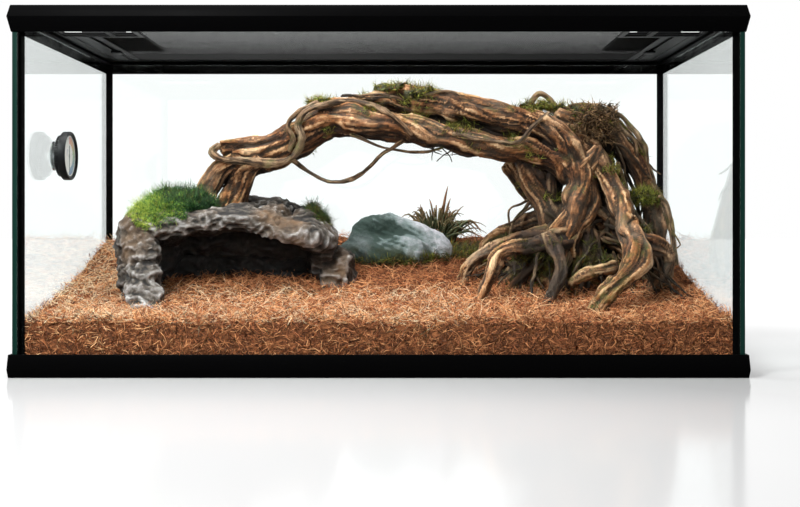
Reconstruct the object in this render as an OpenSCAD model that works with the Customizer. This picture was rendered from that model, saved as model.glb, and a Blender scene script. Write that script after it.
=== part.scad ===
// Glass reptile terrarium: framed tank, lift-out screen lid with two cable-port
// shutters, dial gauge, sloped fibre bed, cave hide, driftwood arch, stone and plant.
// Millimetres, +Z up, front towards -Y, origin at the centre of the bottom face.

/* [Tank] */
// Overall width across the plastic frames
tank_w = 914; // [900:1:1200]
// Overall depth across the plastic frames
tank_d = 457; // [445:1:600]
// Overall height from the table to the top of the rim
tank_h = 459; // [440:1:600]
// Thickness of every glass pane
glass_t = 6; // [4:0.5:8]
// How far the frames stand out past the glass
frame_overhang = 5.5; // [4.9:0.1:7]
// Glue line between two panes
glue_gap = 0.5; // [0.2:0.1:1]
// Width of the silicone bead on each glass face
seal_leg = 8.5; // [4:0.5:10]
// Clearance between pieces that seat on each other
seat_gap = 0.3; // [0.2:0.05:0.4]

/* [Bottom frame] */
// Height of the bottom frame
base_h = 28.5; // [22:0.5:36]
// Height of the widest line of the bottom frame
base_widest_z = 10; // [6:0.5:14]
// Draw-in of the bottom frame's top and bottom edges
base_bevel = 1.5; // [0.5:0.5:3]
// Height of the ledge that carries the glass
base_ledge_h = 12; // [8:0.5:16]
// Reach of the ledge inside the glass's inner face
base_ledge_reach = 12; // [10:0.5:20]

/* [Top rim] */
// Height of the rim
rim_h = 33; // [30:0.5:40]
// Drop from the rim's top to its widest line
rim_widest_drop = 14.5; // [10:0.5:17]
// Draw-in of the rim's top edge
rim_top_set = 3.5; // [1:0.5:5]
// Draw-in of the rim's bottom edge
rim_low_set = 4.2; // [2:0.1:4.4]
// Depth of the lid seat below the rim's top
rim_seat_drop = 15; // [13:0.5:17]
// Thickness of the ledge that sits on the glass
rim_ledge_t = 4; // [3:0.5:5]
// Reach of the ledge inside the glass's inner face
rim_ledge_reach = 7; // [4:0.5:9]
// Inset of the rim's inner wall from its widest line
rim_wall_in = 8; // [7:0.5:9]
// Length of a moulded pocket in the skirt
pocket_len = 42; // [20:1:46]
// Spacing of the pockets
pocket_pitch = 56; // [50:1:80]
// Depth of a pocket into the skirt
pocket_depth = 2; // [1:0.5:2.5]
// Height of a pocket
pocket_h = 9; // [4:0.5:9]
// Height of the pockets' lower edge above the skirt's
pocket_rise = 5; // [2:0.5:5]

/* [Lid] */
// Clearance between lid and rim all round
lid_fit = 0.5; // [0.3:0.1:1]
// Thickness of the lid plate
lid_t = 3; // [2.5:0.5:4]
// Width of the plain border round the screen
lid_border = 30; // [26:1:40]
// Height of the stiffening rib on the lid's edge
lid_rib_h = 8; // [4:1:10]
// Width of the stiffening rib
lid_rib_w = 3; // [2:0.5:4]
// Length of the finger slot in the front border
finger_slot_len = 50; // [30:1:80]
// Width of the finger slot
finger_slot_w = 12; // [10:1:14]
// Distance of the finger slot's middle from the lid's front edge
finger_slot_at = 18; // [14:0.5:20]

/* [Cable ports] */
// Distance of each port from the end of the lid
port_end = 14.5; // [12:0.5:20]
// Width of each port
port_w = 101; // [90:1:110]
// Length of each port, front to back
port_len = 130; // [100:1:150]
// Distance of the divider's middle from the port's outer edge
divider_at = 67; // [50:1:80]
// Width of the divider
divider_w = 8; // [5:0.5:12]
// Plain bar between a port and what lies next to it
port_bar = 6; // [5:0.5:8]
// Distance of the wide guide slot from the port's outer edge
wide_slot_at = 31.5; // [26:0.5:34]
// Width of the wide guide slot
wide_slot_w = 7; // [5:0.5:8]
// Distance of the narrow guide slot from the port's outer edge
thin_slot_at = 10.5; // [8:0.5:14]
// Width of the narrow guide slot
thin_slot_w = 1.5; // [1.2:0.1:3]

/* [Shutters] */
// Thickness of a shutter plate
shutter_t = 2.5; // [2:0.5:3]
// Overlap of a closed shutter round its port
shutter_lap = 3.5; // [2:0.5:4]
// Side clearance of the wide guide in its slot
guide_fit = 0.5; // [0.2:0.1:1]
// Side clearance of the narrow guide in its slot
thin_fit = 0.2; // [0.1:0.05:0.4]
// Length of the guides under a shutter
guide_len = 22; // [15:1:30]
// Room between an open shutter's guides and the front ends of their slots, when shut
stop_room = 2; // [1:0.5:4]
// Width of the hook below the wide guide, each side
hook_reach = 3.5; // [2:0.5:5]
// Thickness of that hook
hook_t = 2.5; // [1.5:0.5:3]
// Height of a shutter's finger grip
grip_h = 6; // [3:0.5:7]
// Length of a shutter's finger grip
grip_len = 60; // [30:1:90]
// Thickness of a shutter's finger grip
grip_t = 6; // [4:0.5:10]

/* [Screen] */
// Width of the landing round the screen window
screen_land = 4; // [3:0.5:5]
// Thickness of the screen
screen_t = 0.6; // [0.4:0.1:0.8]
// Thickness of the strip that clamps the screen
retainer_t = 0.9; // [0.6:0.1:1.2]
// Spacing of the screen's drawn wires
screen_pitch = 32; // [31:1:45]
// Width of a drawn wire
wire_w = 1.2; // [0.8:0.1:2]

/* [Gauge] */
// Distance of the gauge's centre from the tank's front
gauge_depth = 160; // [120:1:200]
// Height of the gauge's centre above the bed's front edge
gauge_rise = 212; // [180:1:240]
// Radius of the bezel
bezel_r = 33; // [28:0.5:38]
// Wall of the bezel
bezel_wall = 1.8; // [1.2:0.1:2]
// Clearance between the bezel and the shell inside it
bezel_fit = 0.2; // [0.1:0.05:0.3]
// Radius of the dial window
window_r = 27.5; // [25.5:0.5:28.5]
// Radius of the knurled back shell
shell_r = 27; // [24:0.5:28]
// Wall of the back shell
shell_wall = 2; // [1.5:0.5:3]
// Number of grip teeth round the shell
teeth = 48; // [24:1:60]
// Height of a grip tooth
tooth_h = 1; // [0.5:0.1:1.5]
// Length of the suction cup
cup_len = 8; // [6:0.5:12]
// Radius of the suction cup's lip
cup_r = 20; // [14:0.5:24]
// Depth of the back shell
shell_len = 8; // [7:0.5:12]
// Depth of the bezel
bezel_len = 10; // [9.5:0.5:14]
// Thickness of the dial plate
dial_t = 0.8; // [0.5:0.1:1.2]
// Gap between the dial's edge and the bezel's outside
dial_margin = 4; // [4:0.1:5]
// Depth of the shell's flange, up to the dial's seat
flange_t = 2; // [1.5:0.1:2.5]
// Thickness of the lens
lens_t = 1.5; // [1:0.1:1.5]
// Gap between the lens's edge and the bezel's wall
lens_margin = 1.1; // [0.5:0.1:1.3]
// Height of the lens's seat above the dial's seat
lens_rise = 3.5; // [3.2:0.1:3.6]
// Thickness of the lip in front of the lens
lip_t = 1.8; // [1.2:0.1:1.8]
// How far the bezel reaches back over the shell
bezel_lap = 2; // [1.5:0.1:3]
// Height of the needle above the dial
needle_rise = 0.8; // [0.5:0.1:1]
// Radius of the needle's boss
boss_r = 2.6; // [2:0.1:3.5]
// Radius of the arbor's head in front of the needle
head_r = 2; // [1.5:0.1:3]
// Thickness of the arbor's head
head_t = 0.6; // [0.4:0.1:0.8]
// Radius of the arbor
arbor_r = 1; // [0.8:0.1:1.5]
// Running clearance of the arbor
arbor_fit = 0.05; // [0.02:0.01:0.1]
// Length of the needle from the arbor to its tip
needle_len = 22; // [16:0.5:24]
// Length of the needle's tail
needle_tail = 14; // [8:0.5:16]
// Thickness of the needle
needle_t = 0.6; // [0.4:0.1:1]
// Turns of the bimetal coil behind the dial
coil_turns = 4; // [3:1:6]
// Thickness of the coil's strip
coil_t = 0.5; // [0.3:0.1:0.8]
// Width of the coil's strip
coil_w = 3; // [2:0.5:4]

/* [Fibre bed] */
// Height of the bed's front edge above the base glass
bed_front_h = 50; // [40:1:60]
// Rise of the bed from front to back
bed_rise = 97; // [88:1:105]
// Height of the bed's waves
bed_wave = 2.2; // [0:0.1:3]

/* [Hidden] */

black = "#1b1b1c";
eps = 0.01;
// How far a cut runs past the face it opens
over = 1;

// Glass box
glass_w = tank_w - 2 * frame_overhang;
glass_d = tank_d - 2 * frame_overhang;
inner_w = glass_w - 2 * glass_t;
inner_d = glass_d - 2 * glass_t;
rim_z = tank_h - rim_h;
seat_z = tank_h - rim_seat_drop;
glass_top = seat_z - rim_ledge_t - seat_gap;
glass_z = base_ledge_h + seat_gap;
floor_z = glass_z + glass_t;
bed_z = floor_z + bed_front_h;

// Lid
lid_half_w = tank_w / 2 - rim_wall_in - lid_fit;
lid_half_d = tank_d / 2 - rim_wall_in - lid_fit;
lid_z = seat_z + seat_gap;
lid_top = lid_z + lid_t;
screen_z = lid_top - retainer_t - screen_t;
port_out = lid_half_w - port_end;
port_in = port_out - port_w;
port_front = -lid_half_d + lid_border;
port_back = port_front + port_len;
wide_slot_out = port_out - wide_slot_at;
wide_slot_in = wide_slot_out - wide_slot_w;
thin_slot_out = port_out - thin_slot_at;
slot_front = port_back + port_bar;
slot_back = lid_half_d - lid_border;
window_front_half = port_in - 2 * screen_land;
window_back_half = wide_slot_in - port_bar - screen_land;
window_step = slot_front + screen_land;

// Shutters, drawn open as they stand, closing towards the front
shutter_out = port_out + shutter_lap;
shutter_in = port_in - shutter_lap;
shutter_travel = port_len + shutter_lap;
guide_back = slot_front + guide_len + stop_room;
shutter_len = guide_back + shutter_lap - (port_front - shutter_lap);
shutter_front = port_back;
shutter_z = lid_top + seat_gap;

// Gauge, measured from the left glass towards the inside
gauge_x = -inner_w / 2;
gauge_y = -tank_d / 2 + gauge_depth;
gauge_z = bed_z + gauge_rise;
dial_r = bezel_r - dial_margin;
bezel_in = bezel_r - bezel_wall;
shell_back = cup_len;
shell_end = shell_back + shell_len;
shell_step = shell_end - bezel_lap / 2;
dial_seat = shell_step + flange_t;
lens_seat = dial_seat + lens_rise;
bezel_back = shell_end - bezel_lap;
bezel_front = bezel_back + bezel_len;
needle_at = dial_seat + dial_t + needle_rise;

// ---------------------------------------------------------------- helpers

// Outline of a section whose two sides follow the same [inset, height] points
function both_sides(side, span) = concat(
    [for (p = side) [p[0] - span / 2, p[1]]],
    [for (i = [len(side) - 1 : -1 : 0]) [span / 2 - side[i][0], side[i][1]]]
);

// Rectangular block whose four sides follow [inset, height] points from the bottom up
module profiled_block(w, d, side) {
    intersection() {
        rotate([90, 0, 90])
            translate([0, 0, -w]) linear_extrude(2 * w) polygon(both_sides(side, d));
        rotate([90, 0, 0])
            translate([0, 0, -d]) linear_extrude(2 * d) polygon(both_sides(side, w));
    }
}

// Box between two corners
module block(low, high) {
    translate(low) cube(high - low);
}

// Both mirror images of a piece
module both_ends() {
    for (side = [0, 1]) mirror([side, 0, 0]) children();
}

// Copies of a shape moved by a gap, so that a cut leaves that gap
module grown(gap) {
    for (move = [[1, 0, 0], [-1, 0, 0], [0, 1, 0], [0, -1, 0], [0, 0, 1]])
        translate(gap * move) children();
}

// Point of a smooth curve between p1 and p2
function curve_at(p0, p1, p2, p3, t) =
    0.5 * (2 * p1 + (p2 - p0) * t + (2 * p0 - 5 * p1 + 4 * p2 - p3) * t * t
        + (3 * p1 - p0 - 3 * p2 + p3) * t * t * t);

// Smooth curve through hand-placed points, with a few steps between them
function smooth_path(p, steps) = [
    for (i = [0 : len(p) - 2], k = [0 : steps - 1])
        curve_at(p[max(i - 1, 0)], p[i], p[i + 1], p[min(i + 2, len(p) - 1)], k / steps),
    p[len(p) - 1]
];

function unit(v) = v / norm(v);
function spot(p) = [p[0], p[1], p[2]];
function heading(p, i) = unit(spot(p[min(i + 1, len(p) - 1)]) - spot(p[max(i - 1, 0)]));

// Uneven bark: how far a point of ring i at angle a stands out
function bark(a, i, rough) = 1 + rough * (sin(3 * a + 50 * i) + 0.6 * sin(5 * a - 97 * i));

// Tapering limb along points [x, y, z, radius]
module limb(points, sides = 8, steps = 2, rough = 0.1) {
    p = smooth_path(points, steps);
    n = len(p);
    rings = [
        for (i = [0 : n - 1])
            let (d = heading(p, i), b = unit(cross(d, [0.1, 1, 0])), c = cross(b, d))
                for (j = [0 : sides - 1])
                    let (a = 360 * j / sides)
                        spot(p[i]) + p[i][3] * bark(a, i, rough) * (cos(a) * b + sin(a) * c)
    ];
    tips = [
        spot(p[0]) - 0.6 * p[0][3] * heading(p, 0),
        spot(p[n - 1]) + 0.6 * p[n - 1][3] * heading(p, n - 1)
    ];
    skin = [
        for (i = [0 : n - 2], j = [0 : sides - 1])
            let (a = i * sides + j, b = i * sides + (j + 1) % sides)
                each [[a, b, b + sides], [a, b + sides, a + sides]]
    ];
    ends = [
        for (j = [0 : sides - 1])
            let (k = (j + 1) % sides, last = (n - 1) * sides)
                each [[n * sides, k, j], [n * sides + 1, last + j, last + k]]
    ];
    polyhedron(concat(rings, tips), concat(skin, ends));
}

// Rounded lump between points [x, y, z, radius]
module lump(points, facets = 8) {
    hull()
        for (p = points)
            translate(spot(p)) sphere(p[3], $fn = facets);
}

// ---------------------------------------------------------------- frames and glass

module bottom_frame() {
    ledge = [inner_w / 2 - base_ledge_reach, inner_d / 2 - base_ledge_reach];
    socket = [glass_w / 2 + seat_gap, glass_d / 2 + seat_gap];
    color(black)
        difference() {
            profiled_block(tank_w, tank_d,
                [[base_bevel, 0], [0, base_widest_z], [base_bevel, base_h]]);
            block([-ledge[0], -ledge[1], -over], [ledge[0], ledge[1], base_h]);
            block([-socket[0], -socket[1], base_ledge_h], [socket[0], socket[1], base_h + over]);
        }
}

// Row of moulded pockets in the inside of the skirt, along one side
module pocket_row(length, inset) {
    count = floor((length - 2 * pocket_pitch) / pocket_pitch);
    for (i = [0 : count])
        translate([(i - count / 2) * pocket_pitch - pocket_len / 2, -inset, rim_z + pocket_rise])
            cube([pocket_len, pocket_depth + eps, pocket_h]);
}

module top_rim() {
    ledge = [inner_w / 2 - rim_ledge_reach, inner_d / 2 - rim_ledge_reach];
    socket = [glass_w / 2 + seat_gap, glass_d / 2 + seat_gap];
    well = [tank_w / 2 - rim_wall_in, tank_d / 2 - rim_wall_in];
    color(black)
        difference() {
            translate([0, 0, rim_z])
                profiled_block(tank_w, tank_d,
                    [[rim_low_set, 0], [0, rim_h - rim_widest_drop], [rim_top_set, rim_h]]);
            block([-ledge[0], -ledge[1], rim_z], [ledge[0], ledge[1], tank_h]);
            block([-socket[0], -socket[1], rim_z - over],
                [socket[0], socket[1], seat_z - rim_ledge_t]);
            block([-well[0], -well[1], seat_z], [well[0], well[1], tank_h + over]);
            for (turn = [0, 180]) {
                rotate([0, 0, turn]) pocket_row(tank_w, socket[1] + pocket_depth);
                rotate([0, 0, turn + 90]) pocket_row(tank_d, socket[0] + pocket_depth);
            }
        }
}

module base_pane() {
    half_w = inner_w / 2 - glue_gap;
    half_d = inner_d / 2 - glue_gap;
    color("#d8e6e2", 0.4) block([-half_w, -half_d, glass_z], [half_w, half_d, floor_z]);
}

// Front or back pane, held between the two side panes
module long_pane() {
    half_w = inner_w / 2 - glue_gap;
    color("#d8e6e2", 0.3)
        block([-half_w, inner_d / 2, glass_z], [half_w, glass_d / 2, glass_top]);
}

module side_pane() {
    color("#d8e6e2", 0.3)
        block([inner_w / 2, -glass_d / 2, glass_z], [glass_w / 2, glass_d / 2, glass_top]);
}

module front_pane() { mirror([0, 1, 0]) long_pane(); }
module back_pane() { long_pane(); }
module left_pane() { mirror([1, 0, 0]) side_pane(); }
module right_pane() { side_pane(); }

// Silicone bead up one inner corner
module corner_seal(x_side, y_side) {
    color(black)
        translate([x_side * inner_w / 2, y_side * inner_d / 2, floor_z + seal_leg])
            linear_extrude(glass_top - floor_z - seal_leg)
                polygon([[0, 0], [-x_side * seal_leg, 0], [0, -y_side * seal_leg]]);
}

module front_left_seal() { corner_seal(-1, -1); }
module front_right_seal() { corner_seal(1, -1); }
module back_left_seal() { corner_seal(-1, 1); }
module back_right_seal() { corner_seal(1, 1); }

// Silicone bead round the base glass
module base_seal() {
    half = [inner_w / 2, inner_d / 2];
    color(black)
        difference() {
            block([-half[0], -half[1], floor_z], [half[0], half[1], floor_z + seal_leg]);
            translate([0, 0, floor_z])
                profiled_block(inner_w, inner_d, [[seal_leg + over, -over], [-over, seal_leg + over]]);
        }
}

// ---------------------------------------------------------------- lid and shutters

// Screen window: narrower in front, between the ports, and wider behind them
function window_outline(margin) = [
    [-window_front_half - margin, port_front - margin],
    [window_front_half + margin, port_front - margin],
    [window_front_half + margin, window_step - margin],
    [window_back_half + margin, window_step - margin],
    [window_back_half + margin, slot_back + margin],
    [-window_back_half - margin, slot_back + margin],
    [-window_back_half - margin, window_step - margin],
    [-window_front_half - margin, window_step - margin]
];

// Port with its divider, and the two guide slots behind it
module port_cut() {
    divider = port_out - divider_at;
    block([divider + divider_w / 2, port_front, lid_z - over], [port_out, port_back, lid_top + over]);
    block([port_in, port_front, lid_z - over], [divider - divider_w / 2, port_back, lid_top + over]);
    block([wide_slot_in, slot_front, lid_z - over], [wide_slot_out, slot_back, lid_top + over]);
    block([thin_slot_out - thin_slot_w, slot_front, lid_z - over],
        [thin_slot_out, slot_back, lid_top + over]);
}

module lid_frame() {
    rib = [lid_half_w - lid_rib_w, lid_half_d - lid_rib_w];
    slot_mid = -lid_half_d + finger_slot_at;
    color(black)
        difference() {
            block([-lid_half_w, -lid_half_d, lid_z], [lid_half_w, lid_half_d, lid_top + lid_rib_h]);
            block([-rib[0], -rib[1], lid_top], [rib[0], rib[1], lid_top + lid_rib_h + over]);
            translate([0, 0, lid_z - over]) linear_extrude(lid_t + 2 * over) polygon(window_outline(0));
            translate([0, 0, screen_z]) linear_extrude(lid_t) polygon(window_outline(screen_land));
            both_ends() port_cut();
            block([-finger_slot_len / 2, slot_mid - finger_slot_w / 2, lid_z - over],
                [finger_slot_len / 2, slot_mid + finger_slot_w / 2, lid_top + over]);
        }
}

module mesh_screen() {
    edge = screen_land - seat_gap;
    half_w = window_back_half + edge;
    columns = floor(window_back_half / screen_pitch);
    rows = floor((slot_back - port_front) / screen_pitch);
    row_gap = (slot_back - port_front) / rows;
    color("#6d6d6d")
        translate([0, 0, screen_z])
            linear_extrude(screen_t)
                difference() {
                    polygon(window_outline(edge));
                    difference() {
                        polygon(window_outline(-wire_w));
                        for (i = [-columns : columns])
                            translate([i * screen_pitch - wire_w / 2, -lid_half_d])
                                square([wire_w, 2 * lid_half_d]);
                        for (j = [1 : rows - 1])
                            translate([-half_w, port_front + j * row_gap - wire_w / 2])
                                square([2 * half_w, wire_w]);
                    }
                }
}

module screen_retainer() {
    color("#222222")
        translate([0, 0, screen_z + screen_t])
            linear_extrude(retainer_t)
                difference() {
                    polygon(window_outline(screen_land - seat_gap));
                    polygon(window_outline(seat_gap));
                }
}

// Shutter of the right port; the left one is its mirror image
module shutter() {
    back = shutter_front + shutter_len;
    guide = [shutter_front + shutter_len - shutter_lap - guide_len, back - shutter_lap];
    grip_mid = (shutter_in + shutter_out) / 2;
    color("#202020") {
        block([shutter_in, shutter_front, shutter_z], [shutter_out, back, shutter_z + shutter_t]);
        block([grip_mid - grip_len / 2, shutter_front + 2 * grip_t, shutter_z + shutter_t],
            [grip_mid + grip_len / 2, shutter_front + 3 * grip_t, shutter_z + shutter_t + grip_h]);
        block([wide_slot_in + guide_fit, guide[0], lid_z - seat_gap],
            [wide_slot_out - guide_fit, guide[1], shutter_z]);
        block([wide_slot_in - hook_reach, guide[0], lid_z - seat_gap - hook_t],
            [wide_slot_out + hook_reach, guide[1], lid_z - seat_gap]);
        block([thin_slot_out - thin_slot_w + thin_fit, guide[0], lid_z],
            [thin_slot_out - thin_fit, guide[1], shutter_z]);
    }
}

module left_shutter() { mirror([1, 0, 0]) shutter(); }
module right_shutter() { shutter(); }

// ---------------------------------------------------------------- gauge

// Stands the gauge on the left glass, its axis pointing into the tank
module on_left_glass() {
    translate([gauge_x, gauge_y, gauge_z]) rotate([0, 90, 0]) children();
}

// Ring between two distances from the glass
module collar(r_in, r_out, from, to) {
    translate([0, 0, from])
        difference() {
            cylinder(r = r_out, h = to - from, $fn = 72);
            translate([0, 0, -over]) cylinder(r = r_in, h = to - from + 2 * over, $fn = 72);
        }
}

module gauge_suction_cup() {
    stem_r = cup_r / 3;
    hollow = 2.2;
    lip = 1.6;
    rest = 0.2;
    color("#cfd6d4", 0.6)
        on_left_glass()
            rotate_extrude($fn = 48)
                polygon([
                    [0, hollow], [0.85 * cup_r, rest], [cup_r, rest], [0.95 * cup_r, lip],
                    [cup_r / 2, cup_len / 2], [stem_r, 0.6 * cup_len], [stem_r, cup_len - seat_gap],
                    [0, cup_len - seat_gap]
                ]);
}

// Back shell with its grip teeth, the flange behind the dial and the seat of the lens
module gauge_shell() {
    flange_r = bezel_in - bezel_fit;
    tooth_w = 1.4;
    root = 0.5;
    color("#161616")
        on_left_glass() {
            collar(arbor_r + arbor_fit, shell_r, shell_back, shell_back + shell_wall);
            collar(shell_r - shell_wall, shell_r, shell_back + shell_wall, shell_step);
            collar(shell_r - shell_wall, flange_r, shell_step, dial_seat);
            collar(dial_r + bezel_fit, flange_r, dial_seat, lens_seat);
            for (i = [0 : teeth - 1])
                rotate([0, 0, 360 * i / teeth])
                    translate([shell_r - root, -tooth_w / 2, shell_back])
                        cube([tooth_h + root, tooth_w, shell_step - shell_back]);
        }
}

module gauge_bezel() {
    color(black)
        on_left_glass() {
            collar(bezel_in, bezel_r, bezel_back, bezel_front);
            collar(window_r, bezel_in, bezel_front - lip_t, bezel_front);
        }
}

module gauge_lens() {
    color("#eef4f4", 0.25)
        on_left_glass()
            translate([0, 0, lens_seat + arbor_fit])
                cylinder(r = bezel_in - lens_margin, h = lens_t, $fn = 72);
}

module gauge_dial() {
    color("#e9e6d8")
        on_left_glass() collar(boss_r - arbor_r, dial_r, dial_seat, dial_seat + dial_t);
}

// Needle with its boss; it points down at rest
module gauge_needle() {
    tail_w = 1.2;
    tip_w = 0.6;
    root = 0.2;
    color("#1f4a2c")
        on_left_glass() {
            collar(arbor_r + arbor_fit, boss_r, needle_at, needle_at + needle_t);
            translate([0, 0, needle_at])
                linear_extrude(needle_t)
                    difference() {
                        polygon([[-needle_tail, -tail_w / 2], [needle_len, -tip_w / 2],
                            [needle_len, tip_w / 2], [-needle_tail, tail_w / 2]]);
                        circle(boss_r - root, $fn = 24);
                    }
        }
}

module gauge_arbor() {
    front = needle_at + needle_t;
    color("#2a2a26")
        on_left_glass() {
            translate([0, 0, shell_back + seat_gap])
                cylinder(r = arbor_r, h = front - shell_back, $fn = 24);
            translate([0, 0, front + 2 * arbor_fit]) cylinder(r = head_r, h = head_t, $fn = 24);
        }
}

// Spiral bimetal strip that turns the arbor
module gauge_coil() {
    steps_a_turn = 24;
    steps = steps_a_turn * coil_turns;
    first = boss_r + coil_t;
    last = shell_r - shell_wall - 2 * coil_w;
    function radius(i) = first + (last - first) * i / steps;
    function place(i, extra) =
        let (a = 360 * i / steps_a_turn) (radius(i) + extra) * [cos(a), sin(a)];
    color("#a8843c")
        on_left_glass()
            translate([0, 0, shell_back + shell_wall])
                linear_extrude(coil_w)
                    polygon(concat([for (i = [0 : steps]) place(i, 0)],
                        [for (i = [steps : -1 : 0]) place(i, coil_t)]));
}

// ---------------------------------------------------------------- fibre bed

// Height of the bed's surface at a place
function bed_height(x, y) =
    let (t = max(0, (y + inner_d / 2) / inner_d))
        bed_z + bed_rise * pow(t, 1.5)
        + bed_wave * (sin(x * 1.3 + y * 0.7) + sin(y * 2.1 - x * 0.45)) / 2;

// Closed block under the bed's surface
module bed_block(lift, low_z, half_w, half_d) {
    columns = 26;
    rows = 14;
    wide = columns + 1;
    function place(i, j) = [-half_w + 2 * half_w * i / columns, -half_d + 2 * half_d * j / rows];
    top = [
        for (j = [0 : rows], i = [0 : columns])
            let (p = place(i, j)) [p[0], p[1], bed_height(p[0], p[1]) + lift]
    ];
    low = [for (j = [0 : rows], i = [0 : columns]) concat(place(i, j), [low_z])];
    count = wide * (rows + 1);
    rim = concat(
        [for (i = [0 : columns - 1]) i],
        [for (j = [0 : rows - 1]) j * wide + columns],
        [for (i = [columns : -1 : 1]) rows * wide + i],
        [for (j = [rows : -1 : 1]) j * wide]
    );
    skin = [
        for (j = [0 : rows - 1], i = [0 : columns - 1])
            let (a = j * wide + i)
                each [[a, a + wide, a + wide + 1], [a, a + wide + 1, a + 1]]
    ];
    walls = [
        for (k = [0 : len(rim) - 1])
            let (a = rim[k], b = rim[(k + 1) % len(rim)])
                each [[a, b, count + b], [a, count + b, count + a]]
    ];
    polyhedron(concat(top, low), concat(skin, walls, [[for (k = rim) count + k]]));
}

// Slope of the bed from front to back, in degrees
function bed_slope(y) = atan(1.5 * bed_rise / inner_d * sqrt(max(0, (y + inner_d / 2) / inner_d)));

// Low heaps on the bed: [x, y, radius]
heaps = [
    [-355, -160, 40], [-150, -165, 46], [60, -168, 44], [225, -172, 40], [390, -120, 34],
    [-395, 90, 36], [-20, -60, 44], [120, -125, 40], [400, 90, 30], [-240, 165, 40]
];
heap_h = 2.5;
// Rings of a heap: share of its radius, share of its height
heap_rings = [[1, -2], [0.75, 0.45], [0.35, 0.9]];

module bed_heaps() {
    for (h = heaps)
        translate([h[0], h[1], bed_height(h[0], h[1])])
            rotate([bed_slope(h[1]), 0, 0])
                hull()
                    for (ring = heap_rings)
                        translate([0, 0, ring[1] * heap_h])
                            cylinder(r = ring[0] * h[2], h = 0.1 * heap_h, $fn = 14);
}

module bed_shape() {
    bed_block(0, floor_z + seat_gap, inner_w / 2 - seat_gap, inner_d / 2 - seat_gap);
    intersection() {
        bed_heaps();
        block([-inner_w / 2 + seal_leg + over, -inner_d / 2 + seal_leg + over, floor_z + over],
            [inner_w / 2 - seal_leg - over, inner_d / 2 - seal_leg - over, tank_h]);
    }
}

module fibre_bed() {
    color("#a5673f")
        difference() {
            bed_shape();
            grown(seat_gap) {
                for (x = [-1, 1], y = [-1, 1]) {
                    corner_seal(x, y);
                }
                base_seal();
            }
        }
}

// What stands on the bed is cut by the bed lifted a little
module above_bed() {
    difference() {
        translate([0, 0, bed_z]) children();
        bed_block(seat_gap, 0, inner_w / 2, inner_d / 2);
        translate([0, 0, seat_gap]) bed_heaps();
    }
}

// ---------------------------------------------------------------- cave hide
// Heights here and below are above the bed's front edge

hide_lumps = [
    [[-338, -62, 110, 23], [-344, -40, 85, 26], [-322, -72, 78, 24]],
    [[-340, -50, 82, 24], [-342, -62, 42, 20], [-318, -85, 48, 22]],
    [[-325, -92, 30, 20], [-311, -110, 2, 23], [-300, -106, 20, 15]],
    [[-343, -48, 42, 20], [-343, -30, -6, 22], [-328, -72, 10, 20]],
    [[-336, -10, 98, 26], [-338, 0, 36, 28], [-316, 20, 86, 30]],
    [[-328, -55, 111, 21], [-290, -62, 116, 18], [-300, 0, 116, 26]],
    [[-290, -62, 118, 17], [-235, -60, 124, 14], [-240, 10, 123, 18]],
    [[-235, -60, 124, 14], [-190, -58, 124, 12], [-190, 20, 130, 18]],
    [[-190, -58, 124, 12], [-140, -52, 109, 12], [-150, 20, 132, 20]],
    [[-140, -52, 109, 12], [-98, -42, 101, 13], [-110, 20, 120, 20]],
    [[-104, -44, 101, 13], [-82, -10, 96, 18], [-95, 30, 104, 26]],
    [[-202, 50, 132, 26], [-160, 50, 128, 26], [-110, 50, 114, 26]],
    [[-300, 40, 100, 32], [-200, 62, 108, 30], [-110, 50, 88, 30]],
    [[-300, 50, 56, 34], [-200, 72, 60, 34], [-96, 58, 50, 32]],
    [[-300, 52, 6, 30], [-200, 74, 20, 34], [-90, 60, 16, 30]],
    [[-86, 0, 82, 18], [-74, 30, 60, 26], [-80, 42, 20, 28]],
    [[-66, 0, 46, 22], [-58, 10, 64, 19], [-56, 20, 16, 22], [-72, -6, 16, 16]]
];

// Cave: middle and half-widths of the balls that hollow it out, the last one its mouth
cave_balls = [
    [[-240, -50, 50], [53, 84, 62]],
    [[-150, -45, 40], [50, 73, 62]],
    [[-200, -120, 20], [90, 60, 60]]
];

module hide_shape() {
    difference() {
        for (points = hide_lumps) lump(points);
        hull()
            for (ball = cave_balls)
                translate(ball[0]) scale(ball[1]) sphere(1, $fn = 18);
    }
}

module rock_hide() { color("#8f8d88") above_bed() hide_shape(); }

// Shape of the hide in its place, for what stands on it
module hide_in_place() {
    translate([0, 0, bed_z]) hide_shape();
}

moss_mound = [
    [-334, -50, 130, 11], [-300, -56, 136, 14], [-258, -52, 140, 12], [-234, -34, 142, 10],
    [-300, -20, 152, 17], [-266, -20, 152, 16], [-324, -24, 140, 14]
];

side_moss = [[-100, 10, 138, 9], [-86, 6, 124, 10], [-80, 4, 110, 8]];

module hide_moss() {
    color("#4f7a1e")
        difference() {
            translate([0, 0, bed_z]) {
                lump(moss_mound, 12);
                for (i = [0 : len(moss_mound) - 1])
                    lump([moss_mound[i], moss_mound[(i + 3) % len(moss_mound)]], 10);
                lump(side_moss);
            }
            grown(seat_gap) hide_in_place();
            grown(seat_gap) wood_in_place();
        }
}

// ---------------------------------------------------------------- driftwood

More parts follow.
